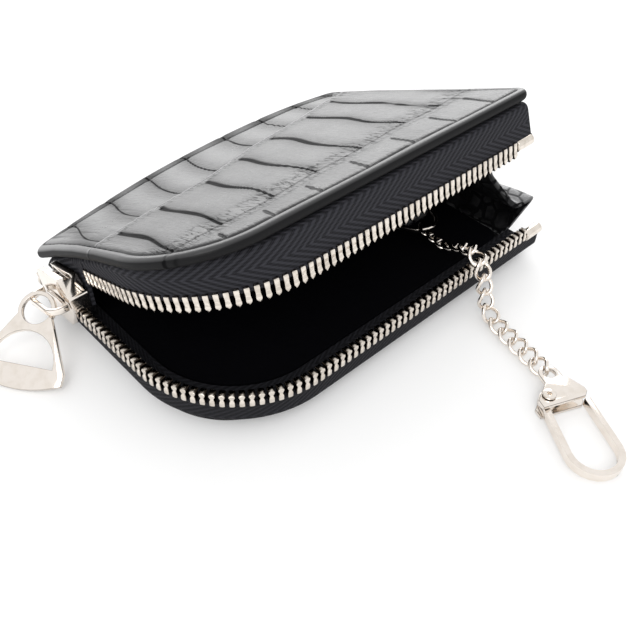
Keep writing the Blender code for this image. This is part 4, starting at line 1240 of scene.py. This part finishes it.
    def seam(self, inset: float, stitch: float, radius: float, outside: bool) -> Skin:
        """A line of stitches: each a small capsule laid along the panel's outline.

        Args:
            inset: How far the seam lies from the edge.
            stitch: Length of one stitch.
            radius: Half the thread's thickness.
            outside: Whether the seam is on the panel's outer face.

        Returns:
            The stitches as one skin.
        """
        rings, outs = self.outline(np.array([inset]))
        ring = rings[0].copy()
        if self.croc:
            ring[:, 1] -= self.spine_setback * self.at_spine(outs)
        ring = np.vstack([ring, ring[:1]])
        far = walked(ring)
        count = int(far[-1] / self.stitch_pitch)
        ends = (np.arange(count)[:, None] * far[-1] / count + np.array([0, stitch])) % far[-1]
        flat = np.stack([np.interp(ends, far, ring[:, k]) for k in (0, 1)], -1)
        level = self.bottom + (self.thickness if outside == self.upper else 0)
        level += (0.2 * radius - self.thread_sink) * (1 if outside == self.upper else -1)
        points = np.concatenate([flat, np.full((*flat.shape[:2], 1), level)], -1)
        if self.upper:
            points = self.form.on_lid(points)
        start, end = points[:, 0], points[:, 1]
        along = unit(end - start)
        up = unit(np.cross(along, np.cross((0, 0, 1.0), along)))
        frames = np.stack([along, np.cross(up, along), up, start], -1)
        share = np.array([0, 0.08, 0.3, 0.7, 0.92, 1.0])[:, None, None]
        girth = radius * np.array([0.05, 0.75, 1.0, 1.0, 0.75, 0.05])[:, None, None] * circle(1, 8)
        capsule = np.concatenate([np.broadcast_to(share * stitch, (*girth.shape[:2], 1)), girth], -1)
        return Skin().add_copies(capsule, frames)


@dataclass
class Covers:
    """The two leather covers with their stitching, and the lining inside each."""

    form: CaseForm
    leather: bpy.types.Material
    thread: bpy.types.Material
    cloth: bpy.types.Material
    slimmed: float = 0.3 * MM

    def cover(self, upper: bool) -> Panel:
        """The upper or lower cover's panel. The upper one is slimmed to clear the slider.

        Args:
            upper: Whether it is the upper one.

        Returns:
            The panel.
        """
        form = self.form
        slim = self.slimmed if upper else 0.0
        bottom = form.spine_height - form.cover + slim if upper else 0.0
        bounds = (-form.half_length, form.half_length, -form.half_width, form.half_width)
        return Panel(form, bounds, form.corner_radii, bottom, form.cover - slim, upper,
                     0.5 * MM if upper else 0.8 * MM, CrocPattern())

    def lining(self, upper: bool) -> Panel:
        """The upper or lower lining's panel.

        Args:
            upper: Whether it is the upper one.

        Returns:
            The panel.
        """
        form = self.form
        bottom = form.ceiling - form.lining_thickness if upper else form.floor
        bounds = (-form.half_length + form.lining_inset,
                  form.half_length - form.gusset_seam - 2 * form.clearance,
                  -form.half_width + form.lining_inset,
                  form.hinge[1] - form.spine_seam - 2 * form.clearance)
        corner = form.corner_radii[1]
        return Panel(form, bounds, (form.inner_corner, corner, corner, corner), bottom,
                     form.lining_thickness, upper, 1.2 * MM)

    def build(self) -> None:
        """Makes the covers, linings and seams, and settles them on the base and the lid."""
        for upper, body, side in ((False, Body.BASE, "lower"), (True, Body.LID, "upper")):
            cover, lining = self.cover(upper), self.lining(upper)
            layers = ((side + "_cover", cover, "_leather", self.leather, Slot.LEATHER,
                       cover.seam(cover.stitch_inset, 2.2 * MM, 0.24 * MM, True)),
                      (side + "_lining", lining, "_cloth", self.cloth, Slot.LINING,
                       lining.seam(1.8 * MM, 2.1 * MM, 0.2 * MM, False)))
            for node, panel, ending, finish, slot, seam in layers:
                settle(panel.surface().build(node + ending, finish), body, slot, node)
                settle(seam.build(node + "_stitching", self.thread), body, slot)


# The zip

@dataclass
class ZipSide:
    """One side of the zip: its tape, the bead along the tape's edge, the cast teeth and the end stop.

    A tooth's profile gives, from its foot to its tip, shares of the tooth's length, widths along the
    row and depths. The stop's gives, from its closed end on, lengths and radii. Both are millimetres.
    """

    form: CaseForm
    upper: bool
    nickel: bpy.types.Material
    tape: bpy.types.Material
    tape_thickness: float = 0.9 * MM
    tape_bend: float = 1.6 * MM
    tape_grip: float = 1.0 * MM
    bead_radius: float = 0.85 * MM
    bead_rise: float = 0.75 * MM
    pitch: float = 2.08 * MM
    spacing: float = 0.8 * MM
    nose_gap: float = 0.2 * MM
    dent_depth: float = 0.32 * MM
    dent_width: float = 0.34 * MM
    closed_foot_x: float = -53.9 * MM
    closed_start: tuple = (0, 22 * MM, 12.6 * MM)
    closed_end: tuple = (0, 22 * MM, 18.6 * MM)

    lower_tooth = ((0.24, 0.26, 0.30, 0.44, 0.56, 0.62, 0.67, 0.72, 0.80, 0.90, 0.96, 0.985, 1.0),
                   (1.05, 1.28, 1.38, 1.36, 1.30, 1.08, 0.84, 0.92, 1.26, 1.52, 1.48, 1.32, 1.10),
                   (2.05, 2.30, 2.40, 2.40, 2.35, 2.15, 1.95, 1.95, 2.15, 2.25, 2.15, 2.00, 1.80))
    upper_tooth = ((0.0, 0.02, 0.08, 0.20, 0.30, 0.42, 0.52, 0.60, 0.70, 0.78, 0.90, 0.98, 1.0),
                   (1.10, 1.28, 1.38, 1.38, 1.34, 1.26, 1.26, 1.34, 1.48, 1.46, 0.86, 0.36, 0.22),
                   (2.05, 2.30, 2.40, 2.40, 2.38, 2.25, 2.25, 2.35, 2.38, 2.30, 1.95, 1.65, 1.50))
    stop_profile = ((0, 0.05, 0.3, 5.9, 6.3, 6.5, 6.5, 6.3, 2.0, 2.0),
                    (0.4, 1.2, 1.5, 1.5, 1.46, 1.3, 1.16, 1.05, 1.05, 0.02))

    @property
    def word(self) -> str:
        """Upper or lower."""
        return "upper" if self.upper else "lower"

    @property
    def body(self) -> Body:
        """The body that this side rides on."""
        return Body.LID if self.upper else Body.BASE

    @property
    def path(self) -> ZipPath:
        """The row's line in plan."""
        return self.form.row_path(self.upper)

    @property
    def start(self) -> float:
        """Where the row begins along its path: the upper one begins at the slider's nose."""
        return self.form.row_start_y - self.form.slider_nose_y + self.nose_gap if self.upper else 0.0

    @property
    def sense(self) -> int:
        """1 where the teeth stand up and -1 where they hang down."""
        return -1 if self.upper else 1

    def feet(self, y: Array) -> Array:
        """Height of the teeth's feet in the closed case."""
        foot = self.form.row_height(y)
        return foot + 2 * self.form.tooth_length + self.form.row_closed_gap if self.upper else foot

    def at_rest(self, points: Array) -> Array:
        """Takes points of the closed row to where the row rests."""
        return self.form.on_open_row(points) if self.upper else points

    def tooth_places(self) -> tuple[Array, Array]:
        """The middle of each tooth's foot and its outward direction, in the closed row.

        Returns:
            Places and directions, each as (teeth, 3).
        """
        last = sum(self.path.lengths) - self.form.stop_length
        count = round((last - self.start) / self.pitch)
        lengths = self.start + (last - self.start) * (np.arange(count) + 0.5) / count
        place, out = self.path.at(self.path.shares(lengths))
        return at_height(place, self.feet(place[:, 1])), at_height(out, 0.0)

    def tooth(self) -> Array:
        """One tooth as rings of a soft box, whose width along the row and depth change with height.

        A lower tooth is a bottle with a flared cup for a head. An upper tooth is a block with a
        dimpled waist and a pointed head. Both are the box |2 x / w| ** 6 + |2 y / d| ** 6 = 1 at each
        level, with a dent at the middle of the cup or the waist.

        Returns:
            A grid of (levels, points, 3) with X along the row, Y outwards and Z towards the tip.
        """
        share, width, depth = np.array(self.upper_tooth if self.upper else self.lower_tooth)[..., None]
        ring = soft_box(6.0, 16)
        x, y = width * ring[:, 0] * MM, depth * ring[:, 1] * MM
        level = 0.48 if self.upper else 0.86
        dent = self.dent_depth * np.exp(-((share - level) / 0.12) ** 2) * np.exp(-(x / self.dent_width) ** 2)
        z = np.broadcast_to(share * self.form.tooth_length, x.shape)
        return np.stack([x, y - dent * np.sign(y), z], -1)

    def teeth(self) -> None:
        """Casts the teeth and settles them on the side's body."""
        place, out = self.tooth_places()
        along = np.stack([-out[:, 1], out[:, 0], np.zeros(len(out))], -1)
        up = np.broadcast_to((0.0, 0.0, float(self.sense)), place.shape)
        spot = self.at_rest(place)
        columns = [self.at_rest(place + axis) - spot for axis in (along, out, up)]
        tooth = self.tooth()
        # Painted shade on the sides that face the next teeth: full across the middle of the depth and 0.45 of
        # it nearer the outer faces.
        side = np.abs(tooth[..., 0]) / np.abs(tooth[..., 0]).max(1, keepdims=True)
        grime = np.clip((side - 0.72) / 0.25, 0, 1) * np.where(np.abs(tooth[..., 1]) < 0.9 * MM, 1.0, 0.45)
        skin = Skin().add_copies(tooth, np.stack([*columns, spot], -1), edge=grime)
        settle(skin.build(self.word + "_teeth", self.nickel, 38), self.body, Slot.METAL,
               self.word + "_tooth_row")

    def tape_lines(self, shares: Array) -> Array:
        """The tape's middle line at each share of the path, from the seam round a bend to the teeth.

        Args:
            shares: Places along the path's three stretches.

        Returns:
            The lines, as (shares, points, 3).
        """
        form, half = self.form, self.tape_thickness / 2
        inner, edge = form.seam_path().at(shares)[0], self.path.at(shares)[0]
        end = self.at_rest(at_height(edge, self.feet(edge[:, 1]) + self.sense * self.tape_grip))
        level = form.ceiling - half if self.upper else form.floor + half
        corners = [at_height(inner, level), at_height(edge, level)]
        if self.upper:
            corners = [form.on_lid(corner) for corner in corners]
        return bend_line(np.stack([*corners, end], 1), self.tape_bend)

    def woven(self, name: str, middle: Array) -> bpy.types.Object:
        """Makes a cloth from its middle surface, with each point's place on the cloth on both faces.

        Args:
            name: The piece's name.
            middle: Its middle surface, as (rows, columns, 3).

        Returns:
            The object.
        """
        flat = cloth_places(middle)
        skin = Skin().add(thick_sheet(middle, self.tape_thickness),
                          cloth=np.concatenate([flat, flat[:, ::-1]], 1))
        return skin.build(name, self.tape, 70)

    def weave(self) -> None:
        """Makes the tape and its bead."""
        total = sum(self.path.lengths)
        shares = self.path.shares(np.linspace(self.start, total, int((total - self.start) / self.spacing)))
        middle = self.tape_lines(shares)
        settle(self.woven(self.word + "_tape_weave", middle), self.body, Slot.TAPE, self.word + "_tape")
        edge, _ = self.path.at(shares)
        rest = self.at_rest(at_height(edge, self.feet(edge[:, 1]) + self.sense * self.bead_rise))
        bead = tube(rest, (0, 0, 1), circle(self.bead_radius, 12))
        turn = np.linspace(0, 2 * math.pi * self.bead_radius, 12, endpoint=False)
        places = np.stack(np.broadcast_arrays(cloth_places(middle)[:, :1, 0], turn[None]), -1)
        piece = Skin().add(bead, cloth=places).build(self.word + "_tape_bead", self.tape)
        settle(piece, self.body, Slot.TAPE)

    def closed_stretch(self) -> None:
        """Makes the cloth behind the slider, from the lid's edge down to the top of the meshed teeth."""
        form = self.form
        lengths = np.linspace(0, self.start, 30)
        inner, _ = form.seam_path().at(form.seam_path().shares(lengths))
        edge, _ = self.path.at(self.path.shares(lengths))
        inner[:, 1] = edge[:, 1]
        foot = np.column_stack([np.full(len(edge), self.closed_foot_x), edge[:, 1]])
        level = form.ceiling - self.tape_thickness / 2
        corners = [form.on_lid(at_height(inner, level)), form.on_lid(at_height(edge, level)),
                   at_height(foot, form.row_height(edge[:, 1]) + form.tooth_length)]
        piece = self.woven("closed_tape_weave", bend_line(np.stack(corners, 1), self.tape_bend))
        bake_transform(piece)
        LOG.info("%s bends with the lid, %d faces", piece.name, len(piece.data.polygons))

    def stop(self) -> None:
        """Makes the rolled tube that closes the free end: a wall that turns in at a lip."""
        place, _ = self.path.at(np.array([3.0]))
        height = self.feet(place[:, 1])[0] + self.sense * self.form.stop_radius
        run, girth = np.array(self.stop_profile)[..., None] * MM
        ring = girth[..., None] * circle(1, 28)
        x = np.broadcast_to(place[0, 0] - self.form.stop_length + run, ring.shape[:2])
        grid = np.stack([x, place[0, 1] + ring[..., 0], height + ring[..., 1]], -1)
        settle(Skin().add(self.at_rest(grid)).build(self.word + "_stop_tube", self.nickel), self.body,
               Slot.METAL, self.word + "_end_stop")

    def build(self) -> None:
        """Makes this side of the zip."""
        self.weave()
        if self.upper:
            self.closed_stretch()
        self.teeth()
        self.stop()


# Between the covers

@dataclass
class Walls:
    """The folded end gusset and the strip that bends round the spine."""

    form: CaseForm
    leather: bpy.types.Material
    gusset_fold: float = 24 * MM
    gusset_thickness: float = 1.6 * MM
    gusset_bend: float = 2.4 * MM
    ripple_depth: float = 0.10 * MM
    ripple_run: float = 2.6 * MM
    strip_thickness: float = 1.4 * MM
    strip_setback: float = 5.2 * MM
    strip_end: float = 1.9 * MM
    blend_height: float = 12 * MM
    inner_shade: float = 0.9

    def bend(self, name: str, grid: Array, node: str) -> None:
        """Makes a wall whose points already reach from the base to the lid, and hides its CAD node.

        Args:
            name: The piece's name.
            grid: Its points, whose columns run over the outer face and back over the darker inner one.
            node: The CAD node that it stands for.
        """
        edge = np.zeros(grid.shape[:2])
        edge[:, grid.shape[1] // 2:] = self.inner_shade
        piece = Skin().add(grid, edge=edge).build(name, self.leather, 60)
        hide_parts(node)
        start = Vector((0, self.form.hinge[1], self.form.cover + 1.0 * MM))
        tilt = self.form.rest_angle / 2
        end = start + Vector((0, math.sin(tilt), math.cos(tilt))) * self.blend_height
        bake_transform(piece)
        LOG.info("%s bends with the lid, %d faces", piece.name, len(piece.data.polygons))

    def gusset(self) -> None:
        """Folds the end wall: at each y a rounded V over a short upright foot.

        The leaf has length L(y) and spans the half height h(y), so the fold reaches in by about
        sqrt(L ** 2 - h ** 2). Towards the open front the lower leaf sags and its hem comes forward.
        """
        form, half = self.form, self.gusset_thickness / 2
        front = -form.half_width + form.tape_seam + form.clearance
        y = np.linspace(front, form.hinge[1] - form.clearance - half, 90)
        edge_x = form.half_length - half
        seam_x = form.half_length - form.gusset_seam
        lid = form.on_lid(at_height(np.column_stack([np.full_like(y, edge_x), y]), form.ceiling))
        share = (form.hinge[1] - y) / (form.hinge[1] - front)
        low = form.floor + half
        span = lid[:, 2] - form.clearance - half - low
        leaf = np.maximum(self.gusset_fold * share, span / 2 * math.sqrt(2))
        depth = np.sqrt(leaf ** 2 - (span / 2) ** 2) * (1 - 0.42 * share)
        lean = (lid[:, 1] - y) / span
        ahead = share * MM
        # Each knee of the fold has its x, its share of the height and how far it comes forward.
        places = ((seam_x, 0.0, 0), (edge_x, 0.0, 0), (edge_x + 1.4 * ahead, 0.35, -7.0 * ahead),
                  (edge_x - 0.45 * depth, 0.30, -5.0 * ahead), (edge_x - depth, 0.58, 0), (edge_x, 1.0, 0),
                  (seam_x, 1.0, 0))
        corners = [np.column_stack([np.broadcast_to(x, y.shape), y + lean * span * rise + forward,
                                    low + span * rise]) for x, rise, forward in places]
        middle = bend_line(np.stack(corners, 1), self.gusset_bend)
        fold = np.cos(np.linspace(0, 2 * math.pi, middle.shape[1]))
        ripple = self.ripple_depth * np.sin(y / self.ripple_run)[:, None] * (1 - fold) * share[:, None]
        corner = self.corner(middle[-1], low, low + span[-1])
        ripple = np.concatenate([ripple, np.zeros(corner.shape[:2])])
        grid = thick_sheet(np.concatenate([middle, corner]), self.gusset_thickness, ripple)
        self.bend("gusset_leather", grid, "gusset")

    def corner(self, end: Array, low: float, high: float) -> Array:
        """Rows that carry the gusset's fold back to the inner face of the strip, so the corner is closed.

        Args:
            end: The last row of the gusset's middle surface.
            low: Its lowest height.
            high: Its highest height.

        Returns:
            The rows, from the end on.
        """
        turn = np.arcsin(np.clip((end[:, 2] - low) / (high - low), 0, 1) * 2 - 1)
        inset = self.strip_thickness + self.gusset_thickness / 2 + self.form.clearance
        steps = np.linspace(0, 1, 8)[1:, None, None]
        return end * (1 - steps) + self.arc(end[:, 0], turn, inset) * steps

    def arc(self, wide: Array, turn: Array, inset: float) -> Array:
        """Places round the spine: a half circle that opens out towards the lid.

        A share s of the lid's droop and angle is added to each point, and s grows to 1 over the first
        120 degrees.

        Args:
            wide: Their x.
            turn: Angles from -90 degrees at the base to 90 degrees at the lid.
            inset: How far inside the strip's outer face they are.

        Returns:
            The places.
        """
        form, hinge = self.form, self.form.hinge
        radius = form.spine_height / 2 - form.floor - inset
        share = np.clip((turn + math.pi / 2) / math.radians(120), 0, 1)
        dy = radius * np.cos(turn)
        dz = radius * np.sin(turn) - form.droop(wide, hinge[1] + dy) * share
        angle = -form.rest_angle * share
        height = hinge[2] + dy * np.sin(angle) + dz * np.cos(angle)
        return np.stack([wide, hinge[1] + dy * np.cos(angle) - dz * np.sin(angle),
                         np.maximum(height, form.floor + inset)], -1)

    def spine(self) -> None:
        """Bends the strip round the spine, with a flat margin on each cover."""
        form, hinge = self.form, self.form.hinge
        x = np.linspace(-form.half_length + self.strip_setback, form.half_length - self.strip_end, 150)
        wide, turn = np.meshgrid(x, np.radians(np.linspace(-90, 90, 41)), indexing="ij")
        margin = np.linspace(hinge[1] - form.spine_seam, hinge[1], 5)[:-1]
        faces = []
        for inset in (0.0, self.strip_thickness):
            low, high = [np.stack(np.broadcast_arrays(x[:, None], y[None], level), -1) for y, level in (
                (margin, form.floor + inset), (margin[::-1], form.ceiling - inset))]
            faces.append(np.concatenate([low, self.arc(wide, turn, inset), form.on_lid(high)], 1))
        self.bend("spine_leather", np.concatenate([faces[0], faces[1][:, ::-1]], 1), "spine_strip")

    def build(self) -> None:
        """Makes both walls."""
        self.gusset()
        self.spine()


# Hardware

@dataclass
class Chain:
    """The curb chain: twisted links of round wire, each hung in the one before.

    The links at both ends are rolled, so that they pass through the ring and the clip's ear.
    """

    nickel: bpy.types.Material
    count: int = 16
    pitch: float = 4.0 * MM
    length: float = 6.2 * MM
    width: float = 5.0 * MM
    wire: float = 1.0 * MM
    twist: float = math.radians(45)
    roll: float = math.radians(45)
    rolled: int = 5

    def joints(self) -> Array:
        """Where the links meet, as the CAD joints have them.

        Returns:
            The places, as (links + 1, 3).
        """
        places = {joint["name"]: joint["pos_m"] for joint in frame["record"]["behaviour"]["joints"]
                  if joint.get("pos_m")}
        names = [f"link_{k:02d}_{'swing' if k % 2 else 'lift'}" for k in range(1, self.count + 1)]
        return np.array([places[name] for name in names + ["clip_swing"]])

    def link(self) -> Array:
        """One link: a twisted oval, (p + e cos phi, s sin phi cos t, s sin phi sin t) with t = 45 cos phi.

        Returns:
            A closed tube's grid, with X along the chain.
        """
        phi = np.linspace(0, 2 * math.pi, 40, endpoint=False)
        turn = self.twist * np.cos(phi)
        side = (self.width - self.wire) / 2 * np.sin(phi)
        reach = self.pitch / 2 + (self.length - self.wire) / 2 * np.cos(phi)
        line = np.stack([reach, side * np.cos(turn), side * np.sin(turn)], 1)
        ups = np.stack([np.zeros_like(phi), -np.sin(turn), np.cos(turn)], 1)
        return tube(line, ups, circle(self.wire / 2, 12), closed=True)

    def build(self) -> None:
        """Makes the links and settles each on its own body."""
        joints = self.joints()
        run = joints[-1] - joints[0]
        across = unit(np.array([-run[1], run[0], 0]))
        oval = self.link()
        for k in range(self.count):
            ahead = unit(joints[k + 1] - joints[k])
            axes = np.stack([ahead, across, np.cross(ahead, across)], 1)
            from_end = self.count - 1 - k
            roll = -self.roll * (max(1 - k / self.rolled, 0) - max(1 - from_end / self.rolled, 0))
            c, s = math.cos(roll), math.sin(roll)
            spin = np.array([[1, 0, 0], [0, c, -s], [0, s, c]])
            skin = Skin().add_copies(oval, np.column_stack([axes @ spin, joints[k]])[None], (True, True))
            body = f"link_{k + 1:02d}"
            settle(skin.build(body + "_wire", self.nickel), body, Slot.METAL, "chain_" + body)


@dataclass
class Fittings:
    """The cast and stamped pieces whose shapes the CAD already has: their edges are rounded and polished.

    Each has the body that it rides on and the width of its rounded edges in millimetres.
    """

    nickel: bpy.types.Material
    leather: bpy.types.Material

    plated = {"slider_body": (Body.SLIDER, 0.25), "slider_bridge": (Body.SLIDER, 0.2),
              "lock_pawl": (Body.SLIDER, 0.1), "stirrup_puller": (Body.PULLER, 0.2),
              "key_ring": (Body.RING, 0.25), "tab_rivet": (Body.BASE, 0.15), "clip_body": (Body.CLIP, 0.22),
              "clip_rivet": (Body.CLIP, 0.12), "clip_loop": (Body.GATE, 0.4)}

    def build(self) -> None:
        """Makes the slider, the puller, the ring, the tab, the rivets and the clip."""
        for node, (body, width) in self.plated.items():
            settle(dressed_copy(node + "_plated", node, self.nickel, width * MM), body, Slot.METAL, node)
        settle(dressed_copy("key_tab_leather", "key_tab", self.leather, 0.3 * MM), Body.BASE, Slot.LEATHER,
               "key_tab")


# Stage

@dataclass(frozen=True)
class Studio:
    """A pale floor, a white surround, soft lamps and the camera at the photographed angle."""

    target: tuple = (-20.12 * MM, -32.917 * MM, 15 * MM)
    azimuth: float = math.radians(-44.297)
    elevation: float = math.radians(44.191)
    distance: float = 174.25 * MM
    roll: float = math.radians(1.798)
    lens_share: float = 762.552 / 640
    sensor: float = 36.0
    clips: tuple = (5 * MM, 20.0)
    floor_reach: float = 4.0
    floor_glow: float = 0.15
    soft_light: float = 0.95
    aim: tuple = (0, 0, 20 * MM)

    def camera(self) -> None:
        """Places the camera: it looks at the target from the given angles, rolled a little."""
        a, e = self.azimuth, self.elevation
        back = Vector((math.sin(a) * math.cos(e), -math.cos(a) * math.cos(e), math.sin(e)))
        right = Vector((math.cos(a), math.sin(a), 0))
        up = back.cross(right)
        cos, sin = math.cos(self.roll), math.sin(self.roll)
        columns = (right * cos + up * sin, up * cos - right * sin, back)
        data = bpy.data.cameras.new("Camera")
        data.sensor_width = self.sensor
        data.lens = self.lens_share * self.sensor
        data.clip_start, data.clip_end = self.clips
        camera = linked("Camera", data)
        turn = Matrix(columns).transposed().to_4x4()
        camera.matrix_world = Matrix.Translation(Vector(self.target) + back * self.distance) @ turn
        bpy.context.scene.camera = camera

    def lamp(self, name: str, place: tuple, size: tuple, strength: float) -> None:
        """Hangs a rectangular soft lamp that shines at the case.

        Args:
            name: The lamp's name.
            place: Where it hangs, in metres.
            size: Its width and height.
            strength: Its power in watts.
        """
        data = bpy.data.lights.new(name, "AREA")
        data.shape = "RECTANGLE"
        data.size, data.size_y = size
        data.energy = strength
        lamp = linked(name, data)
        lamp.location = place
        lamp.rotation_euler = (Vector(self.aim) - Vector(place)).to_track_quat("-Z", "Y").to_euler()

    def floor(self) -> None:
        """Lays the pale floor, which shows white to the camera apart from the soft shadow."""
        graph = Graph("Pale floor")
        graph.dress(Base_Color=(0.97, 0.97, 0.97), Roughness=0.9, Specular_IOR_Level=0.1)
        seen = graph.node("ShaderNodeLightPath", {}, output="Is Camera Ray")
        glow = graph.node("ShaderNodeEmission", {}, (1.0, 1.0, 1.0), 1.0)
        reach = self.floor_reach
        mesh = bpy.data.meshes.new("floor")
        mesh.from_pydata([(-reach, -reach, 0), (reach, -reach, 0), (reach, reach, 0), (-reach, reach, 0)], [],
                         [(0, 1, 2, 3)])
        mesh.materials.append(graph.mix_in(seen * self.floor_glow, glow))
        linked("floor", mesh)

    def surround(self) -> None:
        """Fills the world with white where it is seen or mirrored, and with soft light elsewhere."""
        graph = Graph("Surround", "worlds", "Background")
        camera, glossy, through = [graph.node("ShaderNodeLightPath", {}, output=f"Is {kind} Ray")
                                   for kind in ("Camera", "Glossy", "Transmission")]
        seen = camera.math("MAXIMUM", glossy).math("MAXIMUM", through)
        level = seen * (1.0 - self.soft_light) + self.soft_light
        bpy.context.scene.world = graph.dress(Color=(1.0, 1.0, 1.0), Strength=level)

    def build(self) -> None:
        """Sets the whole stage."""
        bpy.context.scene.view_settings.view_transform = "Standard"
        self.camera()
        self.floor()
        self.surround()
        self.lamp("Key", (0.62, 0.80, 0.42), (1.3, 0.8), 7.0)
        self.lamp("Fill", (-0.7, -0.5, 0.9), (0.7, 0.7), 4.5)


def main() -> None:
    """Builds the case piece by piece."""
    logging.basicConfig(level=logging.INFO, format="%(message)s")
    form = CaseForm()
    leather, thread = LeatherFinish(scales=CrocPattern()).material(), ThreadFinish().material()
    plain = LeatherFinish("Plain leather").material()
    cloth, tape, nickel = LiningFinish().material(), TapeFinish().material(), MetalFinish().material()
    teeth = MetalFinish("Zip nickel", (0.77, 0.71, 0.64), (0.64, 0.58, 0.51), roughness=0.17).material()
    Studio().build()
    Covers(form, leather, thread, cloth).build()
    shaded = TapeFinish("Shaded zip tape", (0.0015, 0.0015, 0.0022), (0.020, 0.020, 0.026)).material()
    for upper, finish in ((False, shaded), (True, tape)):
        ZipSide(form, upper, teeth, finish).build()
    Walls(form, plain).build()
    Chain(nickel).build()
    Fittings(nickel, plain).build()


if __name__ == "__main__":
    main()
